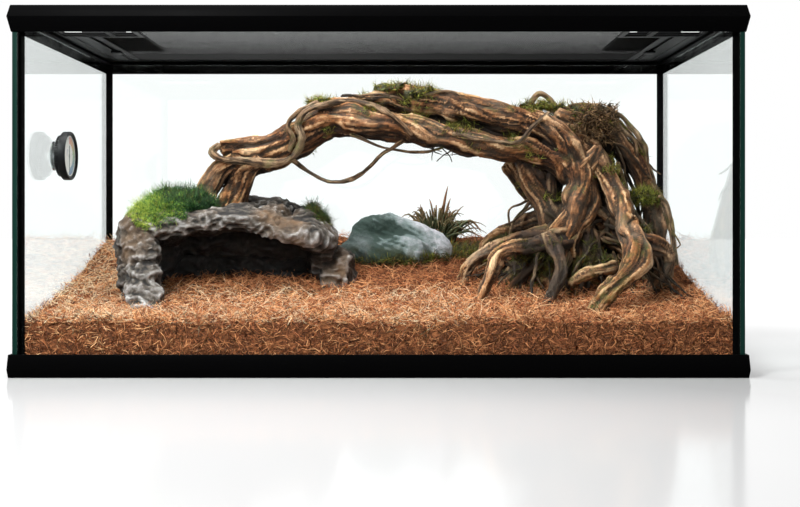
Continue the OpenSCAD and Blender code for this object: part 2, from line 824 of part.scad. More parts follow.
// Each branch runs through points [x, y, height, radius]
left_legs = [
    [[-256, 4, 120, 15], [-250, 6, 160, 14], [-240, 10, 182, 13], [-228, 14, 200, 12],
        [-205, 18, 214, 13]],
    [[-222, 22, 120, 20], [-215, 22, 155, 18], [-208, 22, 178, 17], [-200, 22, 200, 18],
        [-180, 22, 216, 20]]
];
arch = [
    [[-210, 22, 212, 18], [-170, 22, 216, 19], [-140, 22, 226, 22], [-110, 22, 246, 23],
        [-80, 22, 262, 23], [-45, 20, 267, 22], [0, 16, 262, 21], [45, 12, 252, 19],
        [90, 6, 243, 18], [150, 2, 230, 17], [205, -2, 221, 17], [250, -6, 208, 19]],
    [[-75, 34, 286, 12], [-25, 34, 293, 13], [25, 30, 298, 16], [70, 22, 292, 19],
        [115, 16, 284, 18], [160, 12, 275, 18], [205, 6, 266, 19], [245, 0, 250, 20],
        [265, -4, 230, 20], [276, -8, 203, 22], [280, -14, 170, 25], [275, -16, 138, 26],
        [262, -16, 112, 24], [250, -10, 80, 26], [240, 0, 40, 30]],
    [[-230, 18, 228, 9], [-205, 20, 232, 11], [-170, 22, 235, 12], [-133, 24, 250, 12],
        [-90, 30, 276, 10]]
];
right_branches = [
    [[276, -10, 190, 15], [296, -15, 212, 10], [305, -18, 226, 5]],
    [[270, 4, 236, 14], [296, 2, 224, 14], [314, -14, 192, 14], [326, -28, 164, 14],
        [334, -44, 140, 15], [338, -58, 114, 15], [343, -78, 100, 15], [343, -98, 82, 15],
        [336, -114, 62, 15], [318, -124, 44, 13], [296, -132, 26, 11], [276, -140, -4, 7]],
    [[343, -78, 100, 13], [368, -64, 92, 11], [388, -54, 84, 12], [394, -44, 66, 11],
        [378, -38, 30, 12], [366, -34, -10, 12]],
    [[250, 14, 268, 14], [313, 22, 260, 17], [345, 22, 228, 14], [370, 22, 190, 13],
        [387, 26, 146, 13], [396, 32, 104, 13], [402, 34, 50, 12], [404, 34, 10, 10]],
    [[300, -10, 140, 12], [330, 0, 110, 14], [350, 10, 60, 16], [352, 12, 10, 14]]
];
roots = [
    [[258, -24, 116, 18], [230, -38, 110, 13], [195, -54, 100, 11], [166, -68, 86, 10],
        [152, -78, 68, 8], [143, -86, 46, 7], [130, -92, 12, 6]],
    [[234, -14, 108, 13], [196, -4, 98, 10], [160, 2, 84, 9], [126, 6, 62, 7],
        [108, 8, 20, 6]],
    [[251, 32, 132, 15], [230, 46, 126, 12], [202, 62, 116, 10], [173, 72, 104, 9],
        [150, 76, 84, 7], [138, 78, 40, 6]],
    [[274, -24, 122, 14], [249, -30, 96, 12], [220, -42, 72, 10], [188, -50, 44, 8],
        [172, -54, 4, 7]],
    [[262, -10, 100, 22], [215, 10, 70, 20], [180, 20, 30, 16], [165, 24, -10, 12]],
    [[286, -20, 110, 16], [296, -46, 70, 13], [280, -74, 36, 11], [258, -96, -4, 9]],
    [[262, 10, 100, 22], [300, 30, 70, 20], [330, 50, 30, 16], [350, 60, -10, 12]],
    [[183, 46, 206, 9], [200, 50, 186, 11], [223, 50, 158, 13], [248, 40, 136, 14],
        [262, 20, 120, 14]],
    [[230, -40, 104, 8], [244, -70, 66, 9], [232, -92, 34, 8], [216, -104, 0, 6]]
];
// Old bark and packed roots that fill the stump: [x, y, height, radius]
stump = [
    [[270, 30, 90, 30], [330, 40, 80, 32], [300, 20, 30, 30]],
    [[340, 36, 120, 24], [366, 40, 80, 24], [300, 36, 130, 24]],
    [[232, 36, 60, 24], [262, 30, 20, 28], [212, 40, 20, 22]],
    [[196, 46, 198, 9], [250, 38, 180, 16], [240, 44, 150, 14]],
    [[214, 48, 166, 11], [262, 30, 150, 20], [250, 44, 116, 16]]
];
// Swellings where branches meet: [x, y, height, radius]
knots = [
    [-214, 20, 206, 24], [-120, 24, 240, 26], [-40, 24, 276, 24], [60, 20, 270, 22],
    [150, 8, 256, 24], [262, -4, 224, 26], [270, -12, 118, 34], [336, -70, 108, 20],
    [255, 10, 60, 34]
];

module wood_shape() {
    for (group = [left_legs, arch, right_branches, roots], branch = group) limb(branch);
    for (points = stump) lump(points);
    for (k = knots)
        lump([[k[0] - k[3] / 3, k[1], k[2], 0.75 * k[3]], [k[0] + k[3] / 3, k[1], k[2] + 4, 0.7 * k[3]]]);
}

module wood_in_place() {
    translate([0, 0, bed_z]) wood_shape();
}

module driftwood() {
    color("#a07a52")
        difference() {
            above_bed() wood_shape();
            grown(seat_gap) hide_in_place();
        }
}

// ---------------------------------------------------------------- vines

vines = [
    [[256, 22, 268, 4], [244, 22, 294, 4.5], [228, 22, 306, 5], [218, 22, 298, 4.5],
        [205, 14, 276, 4]],
    [[262, 26, 282, 5], [290, 28, 292, 6], [318, 28, 282, 6], [350, 28, 256, 6],
        [374, 28, 224, 6], [388, 28, 190, 6], [398, 28, 158, 5], [410, 24, 124, 4],
        [420, 18, 96, 4], [424, 14, 60, 3]],
    [[-172, 2, 198, 4], [-142, -4, 212, 6], [-118, -8, 238, 7], [-114, -8, 264, 7],
        [-95, -6, 286, 6], [-60, 6, 296, 6], [-17, 4, 290, 6], [14, -6, 272, 6],
        [42, -8, 246, 4]],
    [[-134, 10, 214, 3], [-105, 10, 193, 3], [-85, 10, 182, 3], [-65, 10, 178, 3],
        [-39, 10, 185, 3], [-19, 10, 199, 3], [-3, 10, 216, 3], [17, 10, 229, 3],
        [42, 12, 246, 3]],
    [[-46, 8, 248, 2.5], [4, 4, 227, 2], [60, 4, 221, 2], [96, 6, 232, 2]],
    [[100, -12, 246, 3], [150, -18, 236, 3], [192, -22, 234, 3], [212, -20, 256, 3],
        [236, -10, 276, 3]],
    [[336, 10, 206, 3], [346, -6, 168, 3], [354, -22, 136, 3], [370, -36, 112, 3],
        [388, -48, 84, 3]],
    [[222, 42, 160, 3], [206, 36, 140, 2.5], [190, 30, 122, 2.5], [182, 24, 96, 2.5]],
    [[366, 20, 202, 4], [392, 10, 168, 4], [408, 0, 128, 4], [412, -6, 84, 4], [408, -8, 30, 3]]
];

// Half the height of the swelling near the start of each vine
vine_knot = [0, 0, 1, 0];

module vine_shapes() {
    for (v = vines) limb(v, sides = 6, rough = 0.05);
    for (v = vines) lump([v[1] - vine_knot, v[1] + vine_knot]);
}

module vines_in_place() {
    translate([0, 0, bed_z]) vine_shapes();
}

module wood_vines() {
    color("#54402c")
        difference() {
            above_bed() vine_shapes();
            grown(seat_gap) wood_in_place();
            grown(seat_gap) hide_in_place();
        }
}

// ---------------------------------------------------------------- moss on the wood

// Cushions of moss: [x, y, height, length, thickness]
moss_pads = [
    [-90, 20, 296, 34, 14], [20, 26, 314, 56, 16], [60, 16, 304, 40, 12],
    [230, 14, 288, 50, 16], [280, 16, 274, 56, 18], [330, 26, 246, 40, 14],
    [372, 6, 160, 36, 22], [300, -40, 66, 44, 20], [216, -30, 78, 50, 22],
    [350, -60, 112, 30, 14], [180, 20, 92, 40, 18]
];

module wood_moss() {
    color("#6f7d26")
        difference() {
            above_bed()
                for (m = moss_pads) {
                    lump([
                        [m[0] - m[3] / 2, m[1], m[2] - 4, m[4] / 2], [m[0], m[1] - 8, m[2], m[4] / 1.6],
                        [m[0] + m[3] / 2, m[1] + 4, m[2] - 5, m[4] / 2], [m[0], m[1] + 10, m[2] - 2, m[4] / 2]
                    ]);
                }
            grown(seat_gap) wood_in_place();
            grown(2 * seat_gap) vines_in_place();
            grown(seat_gap) hide_in_place();
        }
}

// ---------------------------------------------------------------- boulder and plant

boulder_lumps = [
    [[-48, 108, 60, 26], [-30, 116, 110, 14], [-10, 124, 60, 30]],
    [[-34, 112, 112, 14], [10, 120, 120, 13], [20, 126, 60, 32]],
    [[8, 118, 118, 14], [50, 118, 108, 14], [50, 124, 60, 30]],
    [[46, 114, 106, 14], [84, 118, 86, 16], [90, 122, 50, 28]],
    [[-20, 96, 70, 24], [40, 94, 72, 26], [10, 110, 60, 34]]
];

module boulder() {
    color("#8b9890")
        difference() {
            above_bed() {
                for (points = boulder_lumps) lump(points, 10);
                for (points = boulder_lumps) lump([points[2], points[0]], 8);
            }
            grown(seat_gap) hide_in_place();
            grown(seat_gap) wood_in_place();
        }
}

plant_at = [88, 176, 84];
blades = 26;
blade_turn = 137.5;
crown_r = 8;
// Shortest and longest reach of a blade, and its rise for each
blade_reach = [34, 74];
blade_rise = [92, 48];

// Blade of the plant, leaning out and drooping at its tip
module blade(turn, reach, rise) {
    out = reach * [cos(turn), 0.55 * sin(turn), 0];
    up = [0, 0, rise];
    limb([
        concat(plant_at, [3]), concat(plant_at + 0.35 * out + 0.7 * up, [3.4]),
        concat(plant_at + 0.75 * out + up, [2.2]), concat(plant_at + out + 0.93 * up, [0.5])
    ], sides = 4, steps = 1, rough = 0);
}

module plant() {
    color("#3d4a2a")
        difference() {
            above_bed() {
                for (i = [0 : blades - 1])
                    let (part = ((i * 7) % 10) / 10)
                        blade(blade_turn * i, (1 - part) * blade_reach[0] + part * blade_reach[1],
                            (1 - part) * blade_rise[0] + part * blade_rise[1]);
                for (a = [0 : 45 : 359])
                    lump([
                        concat(plant_at - [0, 0, 10], [crown_r]),
                        concat(plant_at + [crown_r * cos(a), crown_r * sin(a), 2], [4])
                    ], 6);
            }
            grown(seat_gap) translate([0, 0, bed_z]) for (points = boulder_lumps) lump(points, 10);
            grown(seat_gap) wood_in_place();
        }
}

bottom_frame();
top_rim();
base_pane();
front_pane();
back_pane();
left_pane();
right_pane();
front_left_seal();
front_right_seal();
back_left_seal();
back_right_seal();
base_seal();
lid_frame();
mesh_screen();
screen_retainer();
left_shutter();
right_shutter();
gauge_suction_cup();
gauge_shell();
gauge_bezel();
gauge_lens();
gauge_dial();
gauge_needle();
gauge_arbor();
gauge_coil();
fibre_bed();
rock_hide();
hide_moss();
driftwood();
wood_vines();
wood_moss();
boulder();
plant();
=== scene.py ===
"""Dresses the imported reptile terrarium: tank, screen lid, dial gauge and furnishings.

Lengths are in mm, except in materials and the studio, which are in metres. The frame is
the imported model's: +Z up, the front pane towards -Y, the origin at the centre of the
bottom frame's resting face.
"""

import logging
import math
from collections.abc import Callable, Sequence
from dataclasses import dataclass, field
from enum import Enum

import bpy
import numpy as np
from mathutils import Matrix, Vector, kdtree


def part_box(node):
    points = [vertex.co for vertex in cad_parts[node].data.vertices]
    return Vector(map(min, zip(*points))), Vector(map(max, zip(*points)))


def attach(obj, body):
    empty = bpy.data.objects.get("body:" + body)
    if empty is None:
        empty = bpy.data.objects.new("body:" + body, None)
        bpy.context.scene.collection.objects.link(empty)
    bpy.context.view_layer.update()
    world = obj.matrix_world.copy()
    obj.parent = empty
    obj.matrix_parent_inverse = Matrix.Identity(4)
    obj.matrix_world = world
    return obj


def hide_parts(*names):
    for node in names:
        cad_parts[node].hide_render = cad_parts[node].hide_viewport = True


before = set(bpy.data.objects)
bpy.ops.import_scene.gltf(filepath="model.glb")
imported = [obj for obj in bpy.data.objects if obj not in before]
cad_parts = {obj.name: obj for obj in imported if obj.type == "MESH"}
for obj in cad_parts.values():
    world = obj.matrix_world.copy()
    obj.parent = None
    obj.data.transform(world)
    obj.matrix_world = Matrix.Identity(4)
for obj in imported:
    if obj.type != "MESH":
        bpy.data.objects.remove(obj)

Array = np.ndarray
Obj = bpy.types.Object
Material = bpy.types.Material
Socket = bpy.types.NodeSocket
Triple = tuple[float, float, float]
Stops = tuple[tuple[float, Triple], ...]
Rows = list[tuple[float, float, float, float]]
Shape = Callable[[Array, Array], Array]
Marks = Callable[[Array], dict[str, float | Array]]
Entry = bpy.types.NodeOutputs

LOG = logging.getLogger("terrarium")
MM = 0.001
TAU = 2 * math.pi
BED_FRONT_Z = 68.3
INNER_HALF_W = 445.5
INNER_HALF_D = 217.0
BASE_TOP_Z = 18.3
SMOOTH_ANGLE = 35.0
# Directions in which the painted shade looks for cover: up, up to the front, to the front and to
# the sides.
SHADE_RAYS = (
    (0, 0, 1),
    (-0.6, -0.5, 0.6),
    (0.6, -0.5, 0.6),
    (0, -1, 0.25),
    (-0.9, -0.4, 0.1),
    (0.9, -0.4, 0.1),
)
BOX_FACES = ((0, 1, 5, 4), (1, 2, 6, 5), (2, 3, 7, 6), (3, 0, 4, 7), (3, 2, 1, 0), (4, 5, 6, 7))


# Mesh helpers


def focus(obj: Obj | None = None) -> None:
    """Clears the selection, which operators would otherwise act on.

    Args:
        obj: The one object to select and make active, if any.
    """
    for other in list(bpy.context.selected_objects):
        other.select_set(False)
    if obj:
        obj.select_set(True)
        bpy.context.view_layer.objects.active = obj


def apply_modifier(obj: Obj, kind: str, **settings: object) -> None:
    """Adds a modifier and applies it.

    Args:
        obj: The mesh object.
        kind: The modifier's type, such as "BEVEL".
        **settings: Values of the modifier's properties.
    """
    focus(obj)
    modifier = obj.modifiers.new(kind.title(), kind)
    for key, value in settings.items():
        setattr(modifier, key, value)
    bpy.ops.object.modifier_apply(modifier=modifier.name)


def new_mesh(
    name: str, points: Array, faces: Sequence[Sequence[int]], edges: Sequence[Sequence[int]] = ()
) -> Obj:
    """Makes a mesh object.

    Args:
        name: The piece's name.
        points: Corners, one row each.
        faces: Corner indices of each face.
        edges: Ends of each loose edge.

    Returns:
        The new object, linked to the scene.
    """
    mesh = bpy.data.meshes.new(name)
    mesh.from_pydata(np.asarray(points) * MM, edges, faces)
    mesh.update()
    obj = bpy.data.objects.new(name, mesh)
    bpy.context.scene.collection.objects.link(obj)
    return obj


def points_of(obj: Obj) -> Array:
    """Reads the corners of a mesh object.

    Args:
        obj: The object.

    Returns:
        One row per corner.
    """
    flat = np.zeros(len(obj.data.vertices) * 3, np.float32)
    obj.data.vertices.foreach_get("co", flat)
    return flat.reshape(-1, 3).astype(float) / MM


def normals_of(obj: Obj) -> Array:
    """Reads the normals of a mesh object.

    Args:
        obj: The object.

    Returns:
        One row per corner.
    """
    flat = np.zeros(len(obj.data.vertices) * 3, np.float32)
    obj.data.vertex_normals.foreach_get("vector", flat)
    return flat.reshape(-1, 3).astype(float)


def set_points(obj: Obj, points: Array) -> None:
    """Moves the corners of a mesh object."""
    obj.data.vertices.foreach_set("co", (points * MM).astype(np.float32).ravel())
    obj.data.update()


def push(obj: Obj, points: Array, normals: Array, height: Array) -> None:
    """Moves the corners of a mesh object along normals."""
    set_points(obj, points + normals * height[:, None])


def paint(obj: Obj, name: str, values: float | Array) -> None:
    """Stores a value per corner under a name that materials read.

    Args:
        obj: The mesh object.
        name: The attribute's name.
        values: One number for all, or a number or a row of three per corner.
    """
    if np.ndim(values) == 0:
        values = np.full(len(obj.data.vertices), values)
    kind, key = ("FLOAT_VECTOR", "vector") if np.ndim(values) == 2 else ("FLOAT", "value")
    attribute = obj.data.attributes.get(name) or obj.data.attributes.new(name, kind, "POINT")
    attribute.data.foreach_set(key, np.asarray(values, np.float32).ravel())


def fade(values: Array, start: float, length: float) -> Array:
    """Returns 0 up to the start and 1 from a length (which may be negative) beyond it."""
    return np.clip((values - start) / length, 0, 1)


def unit(rows: Array) -> Array:
    """Returns rows scaled to length 1."""
    return rows / np.linalg.norm(rows, axis=1)[:, None]


def relax(obj: Obj, rows: Array, times: int) -> Array:
    """Averages the rows of every corner with its neighbours'.

    Args:
        obj: The mesh object that gives the edges.
        rows: Rows of three to average.
        times: How many rounds.

    Returns:
        The averaged rows.
    """
    flat = np.zeros(len(obj.data.edges) * 2, np.int32)
    obj.data.edges.foreach_get("vertices", flat)
    ends = flat.reshape(-1, 2)
    start, end = np.concatenate([ends, ends[:, ::-1]]).T
    size = len(rows)
    count = np.maximum(np.bincount(start, minlength=size), 1)
    for _ in range(times):
        sums = [np.bincount(start, rows[end, axis], minlength=size) / count for axis in range(3)]
        rows = np.stack(sums, axis=1)
    return rows


def paint_hollows(obj: Obj, rounds: int, depth: float) -> None:
    """Stores in "relief" how far each corner stands out of, or lies in, its surroundings.

    Args:
        obj: The mesh object.
        rounds: Rounds of averaging that make the surroundings.
        depth: Distance that counts as fully in or out.
    """
    points = points_of(obj)
    step = points - relax(obj, points, rounds)
    height = np.einsum("ij,ij->i", step, normals_of(obj)) / depth
    paint(obj, "relief", np.clip(0.5 + 0.5 * height, 0, 1))


def paint_shade(obj: Obj, reach: float, lift: float = 0.0025, rounds: int = 4) -> None:
    """Stores how much each corner is covered by the piece itself, as the painted shade that darkens
    its colour.

    Args:
        obj: The mesh object.
        reach: How far away a surface still casts the painted shade.
        lift: Height in metres above the surface from which it is looked for.
        rounds: Rounds of averaging.
    """
    bpy.context.view_layer.update()
    starts = [Vector(p) for p in points_of(obj) * MM + normals_of(obj) * lift]
    hit = np.zeros(len(starts))
    for ray in SHADE_RAYS:
        ray = Vector(ray).normalized()
        hit += [obj.ray_cast(start, ray, distance=reach * MM)[0] for start in starts]
    share = np.repeat((hit / len(SHADE_RAYS))[:, None], 3, axis=1)
    paint(obj, "shelter", relax(obj, share, rounds)[:, 0])


def smooth(obj: Obj, angle: float | None = None) -> None:
    """Shades a mesh smooth.

    Args:
        obj: The mesh object.
        angle: If given, only edges flatter than this many degrees are smoothed.
    """
    focus(obj)
    if angle is None:
        bpy.ops.object.shade_smooth()
    else:
        bpy.ops.object.shade_smooth_by_angle(angle=math.radians(angle))


def outward(obj: Obj, *edits: Callable[[], object]) -> None:
    """Turns a mesh's faces outward, after other edits of the whole mesh.

    Args:
        obj: The mesh object.
        *edits: Calls of edit operators.
    """
    focus(obj)
    bpy.ops.object.mode_set(mode="EDIT")
    bpy.ops.mesh.select_all(action="SELECT")
    for edit in edits:
        edit()
    bpy.ops.mesh.normals_make_consistent(inside=False)
    bpy.ops.object.mode_set(mode="OBJECT")


def weld(distance: float) -> Callable[[], object]:
    """Returns the edit that merges corners closer than a distance in metres."""
    return lambda: bpy.ops.mesh.remove_doubles(threshold=distance)


def solid_copy(node: str, name: str = "") -> Obj:
    """Copies a CAD node's mesh into a new, merged piece.

    Args:
        node: The CAD node.
        name: The new piece's name, if it isn't the node's with a capital.

    Returns:
        The new object, in the same place.
    """
    copy = bpy.data.objects.new(name or node.capitalize(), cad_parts[node].data.copy())
    copy.data.materials.clear()
    bpy.context.scene.collection.objects.link(copy)
    flat = math.radians(0.5)
    outward(copy, weld(1e-5), lambda: bpy.ops.mesh.dissolve_limited(angle_limit=flat))
    return copy


def remesh(obj: Obj, voxel: float) -> tuple[Array, Array]:
    """Rebuilds a mesh on a grid of voxels and returns its points and normals."""
    apply_modifier(obj, "REMESH", mode="VOXEL", voxel_size=voxel * MM)
    return points_of(obj), normals_of(obj)


def moulded(node: str, rounding: float, **limit: float) -> Obj:
    """Copies a CAD node and rounds its edges.

    Args:
        node: The CAD node.
        rounding: Width of the rounding.
        **limit: The modifier's angle_limit in radians, if it isn't Blender's own.

    Returns:
        The new object.
    """
    piece = solid_copy(node)
    apply_modifier(
        piece, "BEVEL", width=rounding * MM, segments=2, limit_method="ANGLE", **limit
    )
    smooth(piece, SMOOTH_ANGLE)
    return piece


def boxes(name: str, corners: Array) -> Obj:
    """Makes boxes as one mesh.

    Args:
        name: The piece's name.
        corners: For each box the four corners of one end, then those of the other.

    Returns:
        The new object.
    """
    faces = (np.arange(len(corners))[:, None, None] * 8 + np.array(BOX_FACES)).reshape(-1, 4)
    return new_mesh(name, np.reshape(corners, (-1, 3)), faces.tolist())


def box_of(node: str) -> tuple[Array, Array]:
    """Returns the lowest and the highest corner of a CAD node."""
    low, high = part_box(node)
    return np.array(low) / MM, np.array(high) / MM


def finish_piece(
    obj: Obj, material: Material, node: str = "", body: str = "tank"
) -> None:
    """Dresses a finished piece and ties it to the frame.

    Args:
        obj: The piece.
        material: Its material.
        node: The CAD node that it stands for, if any.
        body: The CAD body that it rides on.
    """
    obj.data.materials.clear()
    obj.data.materials.append(material)
    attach(obj, body)
    if node:
        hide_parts(node)
    LOG.info("%s: %d faces on %s", obj.name, len(obj.data.polygons), body)


def dress_nodes(material: Material, *nodes: str) -> None:
    """Gives the CAD nodes that stay their material.

    Args:
        material: The material.
        *nodes: The CAD nodes.
    """
    for node in nodes:
        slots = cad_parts[node].data.materials
        slots.clear()
        slots.append(material)
        LOG.info("%s: dressed with %s", node, material.name)


# Noise, curves and strands


class Roughness:
    """Seeded gradient noise over arrays of points, for shaping surfaces."""

    def __init__(self, seed: int) -> None:
        """Draws the lattice.

        Args:
            seed: Makes the same surface each run.
        """
        rng = np.random.default_rng(seed)
        order = rng.permutation(256)
        self.order = np.concatenate([order, order])
        self.arrows = unit(rng.normal(size=(256, 3)))

    def at(self, points: Array) -> Array:
        """Works out the noise at each point.

        Args:
            points: Rows of three, in cells of the lattice.

        Returns:
            Values between about -1 and 1.
        """
        cell = np.floor(points).astype(int)
        part = points - cell
        ease = part**3 * (part * (part * 6 - 15) + 10)
        total = np.zeros(len(points))
        for corner in np.ndindex(2, 2, 2):
            x, y, z = (cell + corner).T & 255
            arrow = self.arrows[self.order[self.order[self.order[x] + y] + z]]
            weight = np.prod(np.where(corner, ease, 1 - ease), axis=1)
            total += weight * np.einsum("ij,ij->i", arrow, part - corner)
        return 1.6 * total

    def layered(self, points: Array, octaves: int) -> Array:
        """Returns the sum of ever finer noise."""
        return sum(self.at(points * 2**i + 7.3 * i) / 2**i for i in range(octaves))

    def ridged(self, points: Array, octaves: int) -> Array:
        """Returns noise folded into sharp ridges, between about -1 and 1."""
        return sum((1 - 2.2 * abs(self.at(points * 2**i + 3.1 * i))) / 2**i for i in range(octaves))

    def drift(self, points: Array, shifts: Sequence[float]) -> Array:
        """Returns a row of noise per point, one value for each shift of the lattice."""
        return np.stack([self.at(points + shift) for shift in shifts], 1)


def smooth_path(points: Sequence[Sequence[float]], step: float) -> Array:
    """Runs a smooth curve through given points.

    Args:
        points: Rows that start with x, y, z; further columns follow along.
        step: Rough distance between the points that come back.

    Returns:
        Rows along the curve.
    """
    rows = np.asarray(points, float)
    rows = np.vstack([2 * rows[0] - rows[1], rows, 2 * rows[-1] - rows[-2]])
    pieces = []
    for a, b, c, d in zip(rows, rows[1:], rows[2:], rows[3:]):
        count = max(2, int(np.linalg.norm((c - b)[:3]) / step))
        t = np.linspace(0, 1, count, endpoint=False)[:, None]
        bend, twist = 2 * a - 5 * b + 4 * c - d, 3 * b - a - 3 * c + d
        pieces.append(0.5 * (2 * b + (c - a) * t + bend * t**2 + twist * t**3))
    return np.vstack([*pieces, rows[-2][None]])


def course(centre: Array) -> tuple[Array, Array]:
    """Returns the length run so far and the direction at each point of a path."""
    along = np.concatenate([[0], np.cumsum(np.linalg.norm(np.diff(centre, axis=0), axis=1))])
    return along, unit(np.gradient(centre, axis=0))


def rung_faces(rings: int, sides: int) -> Array:
    """Joins rings of corners that are numbered ring after ring.

    Args:
        rings: Number of rings.
        sides: Corners of a ring.

    Returns:
        Rows of four corner indices.
    """
    ring, j = np.divmod(np.arange((rings - 1) * sides), sides)
    low, high, k = ring * sides, (ring + 1) * sides, (j + 1) % sides
    return np.stack([low + j, low + k, high + k, high + j], axis=1)


@dataclass
class Sweep:
    """Closed tubes: corners, faces, and each corner's place in its tube's own grain."""

    points: Array
    faces: list[list[int]]
    grain: Array


def sweep(path: Array, sides: int, offset: float, shape: Shape | None = None) -> Sweep:
    """Sweeps a round section along a path.

    Args:
        path: Rows of x, y, z and radius.
        sides: Corners of the section.
        offset: Shifts the grain so that each limb has its own.
        shape: Scales the radius from the angle and the length along the path.

    Returns:
        The tube, whose grain runs along the third coordinate.
    """
    centre, radius = path[:, :3], np.maximum(path[:, 3], 0.3)[:, None]
    along, tangent = course(centre)
    side = np.cross(tangent[0], [0.2, 1, 0.1])
    sides_at = []
    for direction in tangent:
        side = side - direction * np.dot(side, direction)
        side = side / np.linalg.norm(side)
        sides_at.append(side)
    normal = np.array(sides_at)
    angle = np.linspace(0, TAU, sides, endpoint=False)
    spread = radius * (shape(angle[None, :], along[:, None]) if shape else 1)
    spread = np.broadcast_to(spread, (len(path), sides))
    cosine, sine = np.cos(angle), np.sin(angle)
    other = np.cross(tangent, normal)
    ring = cosine[None, :, None] * normal[:, None] + sine[None, :, None] * other[:, None]
    skin = centre[:, None] + spread[..., None] * ring
    tips = [centre[0] - 0.6 * path[0, 3] * tangent[0], centre[-1] + 0.6 * path[-1, 3] * tangent[-1]]
    count = len(path) * sides
    faces = rung_faces(len(path), sides).tolist()
    for j in range(sides):
        k = (j + 1) % sides
        faces += [[count, k, j], [count + 1, count - sides + j, count - sides + k]]
    mean = float(np.mean(path[:, 3]))
    parts = (cosine * mean + offset, sine * mean, along[:, None])
    grain = np.stack([np.broadcast_to(part, spread.shape) for part in parts], axis=-1)
    ends = np.array([[offset, 0, 0], [offset, 0, along[-1]]])
    points, grain = skin.reshape(-1, 3), grain.reshape(-1, 3)
    return Sweep(np.vstack([points, tips]), faces, np.vstack([grain, ends]))


def merge(tubes: Sequence[Sweep]) -> Sweep:
    """Puts several tubes into one.

    Args:
        tubes: The tubes.

    Returns:
        All their corners, faces and grain.
    """
    shift, faces = 0, []
    for tube in tubes:
        faces += [[i + shift for i in face] for face in tube.faces]
        shift += len(tube.points)
    return Sweep(np.vstack([t.points for t in tubes]), faces, np.vstack([t.grain for t in tubes]))


def thin_wood(name: str, tubes: Sequence[Sweep], depth: float, marks: Marks) -> Obj:
    """Makes a piece of thin roots or vines and paints what the wood's material reads.

    Args:
        name: The piece's name.
        tubes: The roots.
        depth: Depth of a full hollow.
        marks: Gives the painted values by name from the corners.

    Returns:
        The new object.
    """
    whole = merge(tubes)
    obj = new_mesh(name, whole.points, whole.faces)
    paint(obj, "grain", whole.grain)
    paint_hollows(obj, 2, depth)
    for key, values in marks(whole.points).items():
        paint(obj, key, values)
    smooth(obj)
    return obj


@dataclass(frozen=True)
class Strand:
    """How one kind of loose strand, hair or leaf is made."""

    length: tuple[float, float]
    width: tuple[float, float]
    bend: float
    segments: int = 3
    taper: float = 0.5
    sides: int = 3


def strands(name: str, style: Strand, roots: Array, aims: Array, seed: int) -> Obj:
    """Makes many closed, bent strands as one mesh, each with its own "tint".

    Args:
        name: The piece's name.
        style: Sizes of a strand.
        roots: Where each strand starts.
        aims: Direction in which each sets off.
        seed: Makes the same strands each run.

    Returns:
        The mesh object.
    """
    rng = np.random.default_rng(seed)
    count, rings, sides = len(roots), style.segments + 1, style.sides
    aims = unit(aims)
    bend = rng.normal(size=(count, 3))
    bend = unit(bend - aims * np.einsum("ij,ij->i", bend, aims)[:, None])
    length = rng.uniform(*style.length, count)[:, None]
    width = rng.uniform(*style.width, count) / 2
    swing = (rng.uniform(0.3, 1, count) * style.bend)[:, None]
    t = np.linspace(0, 1, rings)
    turn = swing * t[None, :]
    reach, lift = length * np.sin(turn) / swing, length * (1 - np.cos(turn)) / swing
    centre = roots[:, None] + reach[..., None] * aims[:, None] + lift[..., None] * bend[:, None]
    thick = width[:, None] * (1 - (1 - style.taper) * t[None, :] ** 1.5)
    angle = np.linspace(0, TAU, sides, endpoint=False)[:, None]
    cross = np.cross(aims, bend)[:, None, None]
    ring = np.cos(angle) * bend[:, None, None] + np.sin(angle) * cross
    points = (centre[:, :, None] + thick[:, :, None, None] * ring).reshape(-1, 3)
    base = np.arange(count)[:, None, None] * rings * sides
    around = (base + rung_faces(rings, sides)).reshape(-1, 4)
    first = np.arange(sides)
    caps = (base + np.array([first[::-1], style.segments * sides + first])).reshape(-1, sides)
    obj = new_mesh(name, points, around.tolist() + caps.tolist())
    paint(obj, "tint", np.repeat(rng.uniform(0, 1, count), rings * sides))
    smooth(obj)
    return obj


@dataclass(frozen=True)
class Growth:
    """One piece of moss or loose fibre, and the CAD node that it stands for. Its slot is held but
    not used.
    """

    name: str
    style: Strand
    seed: int
    tone: float | Callable[[Array], Array]
    slot: str
    node: str

    def grow(self, roots: Array, aims: Array, material: Material) -> None:
        """Makes, paints and dresses the strands.

        Args:
            roots: Where each strand starts.
            aims: Direction in which each sets off.
            material: Their material.
        """
        piece = strands(self.name, self.style, roots, aims, self.seed)
        paint(piece, "tone", self.tone(points_of(piece)) if callable(self.tone) else self.tone)
        finish_piece(piece, material, self.node)


# Shader helpers


